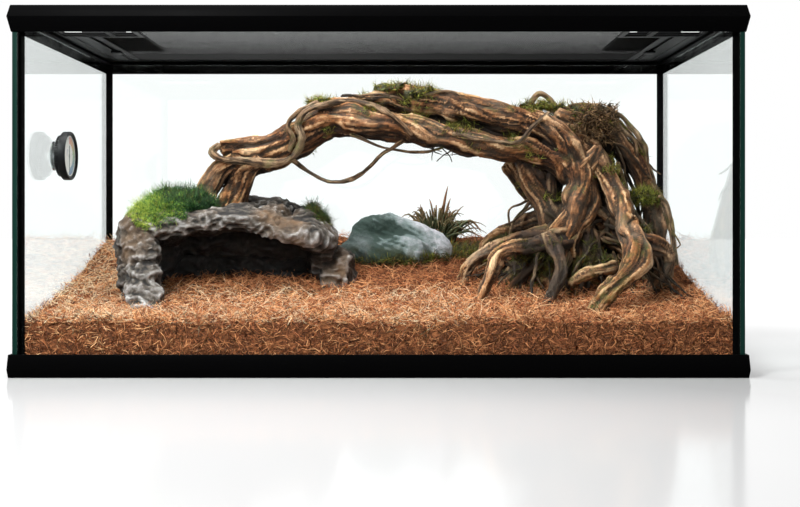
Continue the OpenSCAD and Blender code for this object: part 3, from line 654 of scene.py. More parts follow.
class Shader:
    """A node tree and short calls that add and join its nodes."""

    def __init__(self, tree: bpy.types.NodeTree) -> None:
        """Starts on an emptied node tree."""
        self.tree = tree
        tree.nodes.clear()

    def add(self, kind: str, *values: object, **inputs: object) -> bpy.types.Node:
        """Adds a node and sets or links its inputs.

        Args:
            kind: The node's type without "ShaderNode".
            *values: Values or sockets of its inputs in order; None leaves one alone.
            **inputs: The same by input name, with _ for a space. Names in lower case
                set the node's own properties.

        Returns:
            The node.
        """
        node = self.tree.nodes.new("ShaderNode" + kind)
        for key, value in inputs.items():
            if key[0].islower():
                setattr(node, key, value)
            else:
                self.put(node.inputs[key.replace("_", " ")], value)
        for socket, value in zip(node.inputs, values):
            self.put(socket, value)
        return node

    def put(self, socket: Socket, value: object) -> None:
        """Sets a socket's value, or links another socket to it.

        Args:
            socket: The input.
            value: A socket, a plain value, or None to leave the input alone.
        """
        if isinstance(value, Socket):
            self.tree.links.new(value, socket)
        elif isinstance(value, tuple) and len(value) == 3 and socket.type == "RGBA":
            socket.default_value = (*value, 1.0)
        elif value is not None:
            socket.default_value = value

    def math(self, operation: str, a: object, b: object = 0.0) -> Socket:
        """Returns the result of a Math node."""
        return self.add("Math", a, b, operation=operation).outputs[0]

    def plus(self, a: object, b: object) -> Socket:
        """Returns a sum."""
        return self.math("ADD", a, b)

    def minus(self, a: object, b: object) -> Socket:
        """Returns a difference."""
        return self.math("SUBTRACT", a, b)

    def times(self, a: object, b: object) -> Socket:
        """Returns a product."""
        return self.math("MULTIPLY", a, b)

    def between(self, value: object, low: float, high: float) -> Socket:
        """Returns 1 where a value lies between two others, else 0."""
        above = self.math("GREATER_THAN", value, low)
        return self.times(above, self.math("LESS_THAN", value, high))

    def vector(self, operation: str, *values: object, **inputs: object) -> Socket:
        """Returns the vector result of a Vector Math node."""
        return self.add("VectorMath", *values, operation=operation, **inputs).outputs[0]

    def mix(self, share: object, a: object, b: object, blend: str = "MIX") -> Socket:
        """Returns a mix of two colours."""
        values = (share, *[None] * 5, a, b)
        return self.add("Mix", *values, data_type="RGBA", blend_type=blend).outputs[2]

    def stain(self, share: object, colour: object, stain: object) -> Socket:
        """Returns a colour multiplied by another in part."""
        return self.mix(share, colour, stain, "MULTIPLY")

    def remap(
        self, value: object, low: float, high: float, to_low: float = 0.0, to_high: float = 1.0
    ) -> Socket:
        """Returns a value moved from one range to another and held there."""
        return self.add("MapRange", value, low, high, to_low, to_high).outputs[0]

    def ramp(self, value: object, stops: Stops) -> Socket:
        """Adds a Color Ramp.

        Args:
            value: The socket that drives it.
            stops: Pairs of position and colour.

        Returns:
            Its colour.
        """
        node = self.add("ValToRGB", value)
        line = node.color_ramp.elements
        for spare in list(line)[1:]:
            line.remove(spare)
        line[0].position, line[0].color = stops[0][0], (*stops[0][1], 1)
        for position, colour in stops[1:]:
            line.new(position).color = (*colour, 1)
        return node.outputs["Color"]

    def noise(self, place: object, scale: object, detail: float, rough: float = 0.55) -> Socket:
        """Returns the value of a Noise texture."""
        inputs = {"Vector": place, "Scale": scale, "Detail": detail, "Roughness": rough}
        return self.add("TexNoise", **inputs).outputs[0]

    def warp(self, place: object, scale: float, detail: float) -> Socket:
        """Returns the colour of a Noise texture, used as a vector."""
        return self.add("TexNoise", Vector=place, Scale=scale, Detail=detail).outputs[1]

    def edges(self, place: object, scale: float) -> Socket:
        """Returns the distance to the nearest edge of a cell."""
        node = self.add("TexVoronoi", Vector=place, Scale=scale, feature="DISTANCE_TO_EDGE")
        return node.outputs["Distance"]

    def bump(
        self, height: object, strength: float, distance: float, normal: Socket | None = None
    ) -> Socket:
        """Returns the normal of a Bump node."""
        inputs = {"Height": height, "Strength": strength, "Distance": distance, "Normal": normal}
        return self.add("Bump", **inputs).outputs[0]

    def place(self) -> Socket:
        """Returns the object coordinates."""
        return self.add("TexCoord").outputs["Object"]

    def stored(self, name: str, output: str = "Fac") -> Socket:
        """Returns a value stored on the mesh under a name."""
        return self.add("Attribute", attribute_name=name).outputs[output]

    def group(self, tree: bpy.types.NodeTree, **inputs: object) -> Entry:
        """Places a shared group and returns its outputs."""
        return self.add("Group", node_tree=tree, **inputs).outputs

    def surface(self, **inputs: object) -> None:
        """Joins a Principled BSDF with these inputs to the output."""
        self.add("OutputMaterial", Surface=self.add("BsdfPrincipled", **inputs).outputs[0])

    def blend(self, share: object, a: bpy.types.Node, b: bpy.types.Node) -> bpy.types.Node:
        """Joins a mix of two shaders to the output, and returns the output node."""
        both = self.add("MixShader", share, a.outputs[0], b.outputs[0])
        return self.add("OutputMaterial", Surface=both.outputs[0])

    def black(self) -> bpy.types.Node:
        """Returns an emission of no light, which looks black from every side."""
        return self.add("Emission", Color=(0.0, 0.0, 0.0), Strength=0.0)

    def mirrored(self) -> Socket:
        """Finds what is seen as a mirror image in the tank's outer faces.

        Returns:
            1 there, else 0.
        """
        path = self.add("LightPath").outputs
        mirror = self.math("GREATER_THAN", path["Glossy Depth"], 0.5)
        direct = self.math("LESS_THAN", path["Transmission Depth"], 2.5)
        return self.times(self.times(mirror, direct), self.minus(1.0, path["Is Shadow Ray"]))


class Effects:
    """Node groups that several materials share, each built once."""

    def __init__(self) -> None:
        """Builds every group."""
        dust = {"Color": (0, 0, 0, 1), "Dust": (0.5, 0.5, 0.5, 1), "Amount": 0.3}
        speckle = {"Scale": 900.0, "Roughness": 0.4, "Spread": 0.1}
        self.dust = self._group("Dust film", dust, self._dust)
        self.speckle = self._group("Pebbled plastic", speckle, self._speckle)
        self.grain = self._group("Wood grain", {"Vector": None, "Fineness": 1.0}, self._grain)

    def _group(
        self,
        name: str,
        inputs: dict[str, object],
        fill: Callable[[Shader, Entry], dict[str, Socket]],
    ) -> bpy.types.NodeTree:
        """Makes a node group.

        Args:
            name: The group's name.
            inputs: Default of each input; four numbers make a colour, None a vector.
            fill: Adds the nodes and gives the outputs.

        Returns:
            The group.
        """
        tree = bpy.data.node_groups.new(name, "ShaderNodeTree")
        kinds = {tuple: "NodeSocketColor", float: "NodeSocketFloat"}
        for label, default in inputs.items():
            kind = kinds.get(type(default), "NodeSocketVector")
            socket = tree.interface.new_socket(label, in_out="INPUT", socket_type=kind)
            if default is not None:
                socket.default_value = default
        shader = Shader(tree)
        results = fill(shader, tree.nodes.new("NodeGroupInput").outputs)
        leave = tree.nodes.new("NodeGroupOutput")
        for label, value in results.items():
            kind = kinds[tuple if label == "Color" else float]
            tree.interface.new_socket(label, in_out="OUTPUT", socket_type=kind)
            shader.put(leave.inputs[label], value)
        return tree

    def _dust(self, s: Shader, entry: Entry) -> dict[str, Socket]:
        """Lays a thin film of dust on what faces up.

        Args:
            s: The group's shader.
            entry: The group's inputs.

        Returns:
            The dusty colour.
        """
        up = s.add("SeparateXYZ", Vector=s.add("NewGeometry").outputs["Normal"]).outputs["Z"]
        spots = s.noise(s.place(), 45, 6, 0.6)
        share = s.times(s.remap(up, 0.1, 1.0), s.remap(spots, 0.35, 0.75))
        share = s.times(share, entry["Amount"])
        return {"Color": s.mix(share, entry["Color"], entry["Dust"])}

    def _speckle(self, s: Shader, entry: Entry) -> dict[str, Socket]:
        """Gives moulded plastic its fine pebbled surface.

        Args:
            s: The group's shader.
            entry: The group's inputs.

        Returns:
            The roughness, and the height for a bump.
        """
        fine = s.noise(s.place(), entry["Scale"], 2.0, 0.5)
        shift = s.times(s.minus(s.noise(s.place(), 14, 5, 0.6), 0.5), entry["Spread"])
        return {"Roughness": s.plus(entry["Roughness"], shift), "Height": fine}

    def _grain(self, s: Shader, entry: Entry) -> dict[str, Socket]:
        """Draws streaks, fibres and cracks along a limb's grain.

        Args:
            s: The group's shader.
            entry: The group's inputs.

        Returns:
            The three masks.
        """
        stretched = s.vector("MULTIPLY", entry["Vector"], (1.0, 1.0, 0.06))
        wobble = s.warp(entry["Vector"], 0.035, 3.0)
        bent = s.vector("MULTIPLY_ADD", wobble, (9.0, 9.0, 3.0), stretched)
        finer = s.vector("SCALE", bent, Scale=entry["Fineness"])
        return {
            "Streaks": s.noise(finer, 0.16, 5, 0.6),
            "Fibres": s.noise(finer, 0.75, 4, 0.65),
            "Cracks": s.edges(finer, 0.17),
        }


# Finishes


def grey(level: float) -> Triple:
    """Returns a grey."""
    return (level, level, level)


def halfway(first: Triple, second: Triple) -> Triple:
    """Returns the colour halfway between two."""
    return tuple(0.5 * (a + b) for a, b in zip(first, second))


@dataclass(frozen=True)
class Finish:
    """A named material. Each kind adds its own nodes."""

    name: str

    def build(self, effects: Effects | None = None) -> Material:
        """Makes the material.

        Args:
            effects: The shared node groups, for a kind that uses them.

        Returns:
            The material.
        """
        material = bpy.data.materials.new(self.name)
        material.use_nodes = True
        self.fill(Shader(material.node_tree), effects)
        return material

    def fill(self, s: Shader, effects: Effects | None) -> None:
        """Adds the nodes.

        Args:
            s: The material's shader.
            effects: The shared node groups.
        """
        raise NotImplementedError


@dataclass(frozen=True)
class MouldedPlastic(Finish):
    """Dyed, moulded plastic with a fine pebbled surface and a little dust."""

    colour: Triple
    roughness: float = 0.38
    dust: float = 0.12
    pebble: float = 900.0
    relief: float = 0.12
    specular: float = 0.22

    def fill(self, s: Shader, effects: Effects) -> None:
        """Adds the nodes.

        Args:
            s: The material's shader.
            effects: The shared node groups.
        """
        surface = {"Scale": self.pebble, "Roughness": self.roughness, "Spread": 0.12}
        skin = s.group(effects.speckle, **surface)
        film = s.group(effects.dust, Color=self.colour, Dust=(0.2, 0.195, 0.18), Amount=self.dust)
        s.surface(
            Base_Color=film["Color"],
            Roughness=skin["Roughness"],
            Specular_IOR_Level=self.specular,
            Normal=s.bump(skin["Height"], self.relief, 0.0002),
        )


@dataclass(frozen=True)
class Glass(Finish):
    """Clear float glass, green through its edges, that lets light pass to what it covers."""

    edge: Triple = (0.1, 0.78, 0.62)
    density: float = 5.0
    roughness: float = 0.0
    ior: float = 1.5

    def fill(self, s: Shader, effects: Effects | None) -> None:
        """Adds the nodes.

        Args:
            s: The material's shader.
            effects: The shared node groups, which it doesn't use.
        """
        glass = s.add(
            "BsdfPrincipled",
            Transmission_Weight=1.0,
            IOR=self.ior,
            Base_Color=grey(1.0),
            Roughness=self.roughness,
        )
        path = s.add("LightPath").outputs
        either = s.math("MAXIMUM", path["Is Shadow Ray"], path["Is Diffuse Ray"])
        output = s.blend(either, glass, s.add("BsdfTransparent"))
        if self.density:
            body = s.add("VolumeAbsorption", Color=self.edge, Density=self.density)
            s.put(output.inputs["Volume"], body.outputs[0])


@dataclass(frozen=True)
class Silicone(Finish):
    """Tooled black silicone, slightly wavy."""

    def fill(self, s: Shader, effects: Effects | None) -> None:
        """Adds the nodes.

        Args:
            s: The material's shader.
            effects: The shared node groups, which it doesn't use.
        """
        wave = s.noise(s.place(), 60, 2)
        s.surface(
            Base_Color=s.mix(wave, grey(0.001), grey(0.003)),
            Roughness=s.remap(wave, 0.3, 0.7, 0.4, 0.55),
            Specular_IOR_Level=0.03,
            Normal=s.bump(wave, 0.25, 0.001),
        )


@dataclass(frozen=True)
class GroundEdge(Finish):
    """Ground edge of a pane, through which its length looks a deep green."""

    def fill(self, s: Shader, effects: Effects | None) -> None:
        """Adds the nodes.

        Args:
            s: The material's shader.
            effects: The shared node groups, which it doesn't use.
        """
        wave = s.noise(s.vector("MULTIPLY", s.place(), (900.0, 60.0, 4.0)), 1.0, 3)
        s.surface(
            Base_Color=s.mix(wave, (0.0008, 0.009, 0.006), (0.006, 0.034, 0.026)),
            Roughness=s.remap(wave, 0.3, 0.7, 0.3, 0.45),
            Specular_IOR_Level=0.1,
        )


@dataclass(frozen=True)
class CoconutFibre(Finish):
    """Loose coconut fibre: each strand its own red-brown, paler where it is frayed."""

    stops: Stops = (
        (0.0, (0.11, 0.027, 0.009)),
        (0.2, (0.4, 0.115, 0.04)),
        (0.48, (0.82, 0.34, 0.135)),
        (0.86, (1.0, 0.58, 0.28)),
        (1.0, (1.0, 0.82, 0.56)),
    )

    def fill(self, s: Shader, effects: Effects | None) -> None:
        """Adds the nodes.

        Args:
            s: The material's shader.
            effects: The shared node groups, which it doesn't use.
        """
        place = s.place()
        patches = s.times(s.remap(s.noise(place, 22, 3), 0.35, 0.68), 0.35)
        colour = s.stain(patches, s.ramp(s.stored("tint"), self.stops), (0.62, 0.3, 0.16))
        fray = s.noise(place, 900, 2)
        s.surface(
            Base_Color=s.mix(s.remap(fray, 0.3, 0.8, 0.0, 0.25), colour, (0.62, 0.36, 0.2)),
            Roughness=s.remap(fray, 0.3, 0.7, 0.7, 0.9),
            Specular_IOR_Level=0.25,
            Normal=s.bump(fray, 0.2, 0.0004),
        )


@dataclass(frozen=True)
class FibreMat(Finish):
    """The packed fibre below the loose strands: a web of lines in three directions, dark as painted
    shade between the strands.
    """

    stops: Stops = (
        (0.44, (0.016, 0.005, 0.002)),
        (0.56, (0.11, 0.034, 0.012)),
        (0.69, (0.36, 0.13, 0.05)),
        (0.8, (0.62, 0.3, 0.14)),
    )
    turns: tuple[Triple, ...] = ((700, 91, 210), (105, 700, 245), (420, 350, 700))

    def fill(self, s: Shader, effects: Effects | None) -> None:
        """Adds the nodes.

        Args:
            s: The material's shader.
            effects: The shared node groups, which it doesn't use.
        """
        place = s.place()
        bent = s.warp(place, 60.0, 3.0)
        lines = [s.noise(s.vector("MULTIPLY_ADD", place, t, bent), 1.0, 3, 0.6) for t in self.turns]
        web = s.math("MAXIMUM", s.math("MAXIMUM", lines[0], lines[1]), lines[2])
        s.surface(
            Base_Color=s.ramp(web, self.stops),
            Roughness=0.9,
            Specular_IOR_Level=0.2,
            Normal=s.bump(web, 0.9, 0.002),
        )


@dataclass(frozen=True)
class WeatheredWood(Finish):
    """Barkless weathered wood: pale on the ridges, dark and orange in the hollows, partly its own
    weathering and partly painted shade, and darker again as painted shade where it covers itself.
    """

    pale: Triple = (0.88, 0.59, 0.33)
    warm: Triple = (0.36, 0.15, 0.05)
    dark: Triple = (0.026, 0.012, 0.005)
    fineness: float = 1.0

    def fill(self, s: Shader, effects: Effects) -> None:
        """Adds the nodes.

        Args:
            s: The material's shader.
            effects: The shared node groups.
        """
        place = s.place()
        along = s.stored("grain", "Vector")
        grain = s.group(effects.grain, Vector=along, Fineness=self.fineness)
        streaks = s.times(s.minus(grain["Streaks"], 0.5), 2.0)
        # The relief darkens the hollows as painted shade, over the wood's own weathered colour.
        height = s.plus(streaks, s.remap(s.stored("relief"), 0.2, 0.9, 0.05, 0.88))
        stops = (
            (0.26, self.dark),
            (0.5, tuple(0.4 * c for c in self.warm)),
            (0.66, self.warm),
            (0.82, halfway(self.warm, self.pale)),
            (0.96, self.pale),
        )
        patches = s.times(s.remap(s.noise(place, 28, 5, 0.62), 0.38, 0.66), 0.6)
        colour = s.stain(patches, s.ramp(height, stops), (0.5, 0.27, 0.12))
        bleached = s.times(s.remap(s.noise(place, 17, 4), 0.45, 0.7, 0.0, 0.5), s.stored("tone"))
        colour = s.mix(bleached, colour, (0.6, 0.5, 0.37))
        fibres = s.remap(grain["Fibres"], 0.3, 0.72)
        colour = s.stain(0.5, colour, s.ramp(fibres, ((0.0, (0.35, 0.3, 0.26)), (0.6, grey(1)))))
        crack = s.remap(grain["Cracks"], 0.0, 0.07, 1.0, 0.0)
        colour = s.mix(s.times(crack, 0.55), colour, self.dark)
        moss = s.times(s.stored("moss"), s.remap(s.noise(place, 90, 5, 0.6), 0.42, 0.6))
        colour = s.mix(moss, colour, (0.13, 0.14, 0.03))
        # Painted shade where the wood covers itself.
        shelter = s.remap(s.stored("shelter"), 0.08, 0.62, 0.0, 0.95)
        normal = s.bump(grain["Streaks"], 0.55, 0.0022)
        normal = s.bump(fibres, 0.5, 0.0008, normal)
        normal = s.bump(crack, 0.5, -0.0012, normal)
        s.surface(
            Base_Color=s.mix(shelter, colour, (0.014, 0.008, 0.005)),
            Roughness=s.remap(grain["Streaks"], 0.3, 0.7, 0.85, 0.62),
            Specular_IOR_Level=0.3,
            Normal=s.bump(s.noise(place, 420, 3), 0.3, 0.0005, normal),
        )


@dataclass(frozen=True)
class Rock(Finish):
    """Veined rock with stains in patches, pale on its edges as painted highlight and dark in its
    hollows as painted shade.
    """

    pale: Triple
    middle: Triple
    dark: Triple
    stained: Triple
    stain_share: float = 0.5
    vein: float = 0.3

    def fill(self, s: Shader, effects: Effects | None) -> None:
        """Adds the nodes.

        Args:
            s: The material's shader.
            effects: The shared node groups, which it doesn't use.
        """
        place = s.place()
        rough = s.noise(place, 38, 8, 0.68)
        # The relief paints highlight on the edges and shade in the hollows.
        height = s.plus(s.remap(s.stored("relief"), 0.2, 0.85), s.times(s.minus(rough, 0.5), 1.7))
        height = s.plus(height, s.minus(s.stored("tone"), 0.5))
        stops = (
            (0.18, self.dark),
            (0.5, self.middle),
            (0.85, halfway(self.middle, self.pale)),
            (1.0, self.pale),
        )
        colour = s.ramp(height, stops)
        stain = s.remap(s.noise(place, 13, 5, 0.6), 0.5, 0.68, 0.0, self.stain_share)
        colour = s.mix(stain, colour, self.stained)
        vein = s.remap(s.edges(s.warp(place, 18.0, 4.0), 6.0), 0.0, 0.05, self.vein, 0.0)
        colour = s.mix(vein, colour, self.dark)
        fine = s.noise(place, 260, 5, 0.65)
        colour = s.stain(0.35, colour, s.ramp(fine, ((0.3, grey(0.45)), (0.62, grey(1)))))
        moss = s.times(s.stored("moss"), s.remap(s.noise(place, 70, 5), 0.4, 0.55))
        colour = s.mix(moss, colour, (0.045, 0.05, 0.014))
        # Painted shade where the rock covers itself, as in the cave.
        shelter = s.remap(s.stored("shelter"), 0.15, 0.6, 0.0, 0.97)
        s.surface(
            Base_Color=s.mix(shelter, colour, (0.004, 0.003, 0.003)),
            Roughness=s.remap(fine, 0.3, 0.7, 0.6, 0.85),
            Specular_IOR_Level=0.35,
            Normal=s.bump(fine, 0.7, 0.0013, s.bump(rough, 0.85, 0.006)),
        )


@dataclass(frozen=True)
class Greenery(Finish):
    """Leaves or moss whose tips and tints vary from strand to strand."""

    stops: Stops
    roughness: float = 0.6
    glow: float = 0.15
    speckle: float = 0.0

    def fill(self, s: Shader, effects: Effects | None) -> None:
        """Adds the nodes.

        Args:
            s: The material's shader.
            effects: The shared node groups, which it doesn't use.
        """
        place = s.place()
        value = s.plus(s.times(s.stored("tint"), 0.6), s.times(s.noise(place, 30, 3), 0.5))
        value = s.plus(value, s.minus(s.stored("tone"), 0.5))
        value = s.plus(value, s.times(s.minus(s.noise(place, 230, 3), 0.53), self.speckle))
        fine = s.noise(place, 700, 2)
        dark = s.remap(fine, 0.3, 0.7, 0.0, 0.3)
        s.surface(
            Base_Color=s.mix(dark, s.ramp(value, self.stops), (0.02, 0.03, 0.005)),
            Roughness=s.remap(fine, 0.3, 0.7, self.roughness, self.roughness + 0.15),
            Specular_IOR_Level=0.3,
            Subsurface_Weight=self.glow,
            Subsurface_Scale=0.002,
            Normal=s.bump(fine, 0.2, 0.0004),
        )


@dataclass(frozen=True)
class Metal(Finish):
    """Plain or painted metal with fine scratches."""

    colour: Triple
    metallic: float
    roughness: float
    specular: float = 0.5

    def fill(self, s: Shader, effects: Effects | None) -> None:
        """Adds the nodes.

        Args:
            s: The material's shader.
            effects: The shared node groups, which it doesn't use.
        """
        scratch = s.noise(s.place(), 500, 3)
        s.surface(
            Base_Color=s.mix(scratch, self.colour, tuple(0.7 * c for c in self.colour)),
            Roughness=s.remap(scratch, 0.3, 0.7, self.roughness, self.roughness + 0.15),
            Normal=s.bump(scratch, 0.1, 0.0001),
            Specular_IOR_Level=self.specular,
            Metallic=self.metallic,
        )


@dataclass(frozen=True)
class PrintedDial(Finish):
    """The dial's card. A band holds its inner and outer radius in metres and its turns."""

    centre: Triple
    outer_band: tuple[float, ...] = (0.0165, 0.0262, 0.5, 1.0)
    inner_band: tuple[float, ...] = (0.0098, 0.0112, 0.25, 0.42)
    tick_band: tuple[float, ...] = (0.0225, 0.0255, 0.0, 0.5)
    ticks: float = 60.0
    tick_share: float = 0.22
    stops: Stops = (
        (0.5, (0.7, 0.14, 0.06)),
        (0.62, (0.72, 0.36, 0.08)),
        (0.72, (0.25, 0.42, 0.14)),
        (0.85, (0.12, 0.26, 0.36)),
        (0.97, (0.05, 0.15, 0.36)),
    )

    def fill(self, s: Shader, effects: Effects | None) -> None:
        """Adds the nodes.

        Args:
            s: The material's shader.
            effects: The shared node groups, which it doesn't use.
        """
        from_centre = s.vector("SUBTRACT", s.place(), self.centre)
        parts = s.add("SeparateXYZ", Vector=from_centre).outputs
        y, z = parts["Y"], parts["Z"]
        radius = s.math("SQRT", s.plus(s.times(y, y), s.times(z, z)))
        turn = s.math("DIVIDE", s.plus(s.math("ARCTAN2", y, z), math.pi), TAU)

        def band(inner: float, outer: float, start: float, stop: float) -> Socket:
            """Returns the mask of a part of a ring."""
            return s.times(s.between(radius, inner, outer), s.between(turn, start, stop))

        paper = s.mix(s.noise(s.place(), 300, 3), (0.7, 0.7, 0.64), (0.8, 0.79, 0.74))
        colour = s.mix(band(*self.outer_band), paper, s.ramp(turn, self.stops))
        colour = s.mix(band(*self.inner_band), colour, (0.03, 0.05, 0.2))
        mark = s.math("LESS_THAN", s.math("FRACT", s.times(turn, self.ticks)), self.tick_share)
        colour = s.mix(s.times(mark, band(*self.tick_band)), colour, grey(0.05))
        s.surface(Base_Color=colour, Roughness=0.55, Specular_IOR_Level=0.3)


@dataclass(frozen=True)
class PolishedFloor(Finish):
    """Polished pale floor that glows far from its dim centre and is black in the tank's faces."""

    dim_centre: Triple = (0.0, -0.9, 0.0)

    def fill(self, s: Shader, effects: Effects | None) -> None:
        """Adds the nodes.

        Args:
            s: The material's shader.
            effects: The shared node groups, which it doesn't use.
        """
        place = s.place()
        ahead = s.add("VectorMath", place, self.dim_centre, operation="DISTANCE")
        away = s.remap(ahead.outputs["Value"], 0.7, 2.2)
        polished = s.add(
            "BsdfPrincipled",
            Base_Color=s.mix(s.noise(place, 1.2, 3), (0.46, 0.46, 0.463), grey(0.48)),
            Roughness=0.12,
            IOR=1.22,
            Emission_Color=s.ramp(away, ((0.0, grey(0)), (0.4, grey(0.24)), (1.0, grey(0.7)))),
            Emission_Strength=1.0,
        )
        s.blend(s.mirrored(), polished, s.black())


@dataclass(frozen=True)
class BlackFlag(Finish):
    """Black in the tank's mirror image, if seen from between two distances, else clear."""

    near: float
    far: float

    def fill(self, s: Shader, effects: Effects | None) -> None:
        """Adds the nodes.

        Args:
            s: The material's shader.
            effects: The shared node groups, which it doesn't use.
        """
        length = s.add("LightPath").outputs["Ray Length"]
        shown = s.times(s.mirrored(), s.between(length, self.near, self.far))
        s.blend(shown, s.add("BsdfTransparent"), s.black())


# Studio


@dataclass
class Studio:
    """Camera, floor, dark flags, white surround and soft lights."""

    eye: Triple = (0.0325, -1.6625, 0.204)
    lens: float = 52.59
    shift: tuple[float, float] = (-5 / 800, -41.5 / 800)
    floor_size: float = 14.0
    flag_size: float = 4.6
    flag_height: float = 0.9
    flag_gap: float = 1.5
    flag_margin: float = 0.04
    flag_reach: float = 1.95
    flag_starts: tuple[tuple[int, float], ...] = ((0, 0.23), (1, 0.457), (3, 0.457))
    ambient: float = 0.16
    pane_loss: float = 0.18
    lights: tuple[tuple[str, Triple, Triple, float, float], ...] = (
        ("Key", (-0.9, -1.35, 1.35), (0.05, 0.05, 0.18), 0.5, 50),
        ("Fill", (1.5, -1.5, 0.9), (0.1, 0, 0.2), 1.2, 9),
        ("Top", (-0.23, -0.1, 1.15), (-0.19, -0.06, 0.1), 0.55, 25),
    )

    def build(self) -> None:
        """Sets up the whole studio."""
        self._camera()
        floor = PolishedFloor("Polished pale floor").build()
        self._plane("Studio_floor", self.floor_size, (0, 0, 0), (0, 0, 0), floor)
        self._flags()
        self._world()
        self._lights()
        bpy.context.scene.view_settings.view_transform = "Standard"

    def _camera(self) -> None:
        """Places the camera level, in front of the tank and low."""
        focus()
        bpy.ops.object.camera_add(location=self.eye, rotation=(math.pi / 2, 0, 0))
        camera = bpy.context.object
        camera.name = "Camera"
        camera.data.lens = self.lens
        camera.data.shift_x, camera.data.shift_y = self.shift
        camera.data.clip_start = 0.01
        bpy.context.scene.camera = camera

    def _plane(
        self, name: str, size: float, place: Triple, rotation: Triple, material: Material
    ) -> None:
        """Puts up one plane of the studio.

        Args:
            name: Its name.
            size: Its side.
            place: Its centre.
            rotation: Its turns.
            material: Its material.
        """
        focus()
        bpy.ops.mesh.primitive_plane_add(size=size, location=place, rotation=rotation)
        plane = bpy.context.object
        plane.name = name
        plane.data.materials.append(material)

    def _flags(self) -> None:
        """Stands dark flags round the tank that only a mirror image in its glass or frame shows."""
        near = self.flag_gap - self.flag_margin
        material = BlackFlag("Black flag", near, self.flag_reach).build()
        for turn, start in self.flag_starts:
            angle, reach = turn * math.pi / 2, self.flag_gap + start
            place = (math.sin(angle) * reach, -math.cos(angle) * reach, self.flag_height)
            name = f"Studio_flag_{turn + 1}"
            self._plane(name, self.flag_size, place, (math.pi / 2, 0, angle), material)

    def _world(self) -> None:
        """Shows white to the eye and lights the tank at a plain, lower level."""
        world = bpy.data.worlds.new("Studio")
        bpy.context.scene.world = world
        world.use_nodes = True
        s = Shader(world.node_tree)
        path = s.add("LightPath").outputs
        through = path["Is Transmission Ray"]
        seen = s.math("MAXIMUM", path["Is Camera Ray"], path["Is Glossy Ray"])
        level = s.remap(s.math("MAXIMUM", seen, through), 0.0, 1.0, self.ambient, 1.0)
        level = s.plus(level, s.times(through, self.pane_loss))
        sky = s.add("Background", Color=grey(1.0), Strength=level)
        s.add("OutputWorld", sky.outputs[0])

    def _lights(self) -> None:
        """Hangs the soft lights."""
        for name, place, aim, size, power in self.lights:
            focus()
            bpy.ops.object.light_add(type="AREA", location=place)
            light = bpy.context.object
            light.name = f"Light_{name}"
            light.data.size = size
            light.data.energy = power
            light.visible_camera = False
            direction = Vector(aim) - Vector(place)
            light.rotation_euler = direction.to_track_quat("-Z", "Y").to_euler()


# Tank and lid


@dataclass
class Tank:
    """Frames, panes and silicone of the tank."""

    effects: Effects
    rounding: float = 0.6
    rounded_above: float = 12.0
    joint: float = 2.0
    joint_gap: float = 0.15
    edge_overlap: float = 0.1
    film: float = 0.05
    short: float = 0.2

    def build(self) -> None:
        """Builds and dresses the tank."""
        look = MouldedPlastic(
            "Black frame plastic", (0.0012, 0.0012, 0.0013), 0.42, 0.004, specular=0.008
        )
        black = look.build(self.effects)
        for node in ("bottom_frame", "top_rim"):
            piece = moulded(node, self.rounding, angle_limit=math.radians(self.rounded_above))
            finish_piece(piece, black, node)
        panes = [f"{side}_pane" for side in ("base", "front", "back", "left", "right")]
        dress_nodes(Glass("Float glass").build(), *panes)
        corners = ("front_left", "front_right", "back_left", "back_right", "base")
        silicone = Silicone("Black silicone").build()
        dress_nodes(silicone, *(f"{corner}_seal" for corner in corners))
        low, high = box_of("right_pane")
        inner = low[0]
        edge = GroundEdge("Ground glass edge").build()
        start, stop = inner - self.edge_overlap, high[0] - self.film
        self._strips("Pane_edges", start, stop, edge)
        start, stop = inner - self.joint, inner - self.joint_gap
        self._strips("Joint_lines", start, stop, silicone)

    def _strips(self, name: str, inner: float, outer: float, material: Material) -> None:
        """Lays four upright films on the front and back faces of the side panes.

        Args:
            name: The piece's name.
            inner: Distance of a strip's inner side from the middle.
            outer: Distance of its outer side.
            material: Its material.
        """
        low, high = box_of("right_pane")
        bottom, top, face = low[2] + self.short, high[2] - self.short, high[1] + self.film
        far = face + self.film
        end = ((face, bottom), (face, top), (far, top), (far, bottom))
        corners = [
            [(right * x, back * y, z) for x in (inner, outer) for y, z in end]
            for right in (-1, 1)
            for back in (-1, 1)
        ]
        strips = boxes(name, np.array(corners))
        outward(strips)
        finish_piece(strips, material)


class Side(Enum):
    """The two ends of the lid that have a cable port."""

    LEFT = "left"
    RIGHT = "right"


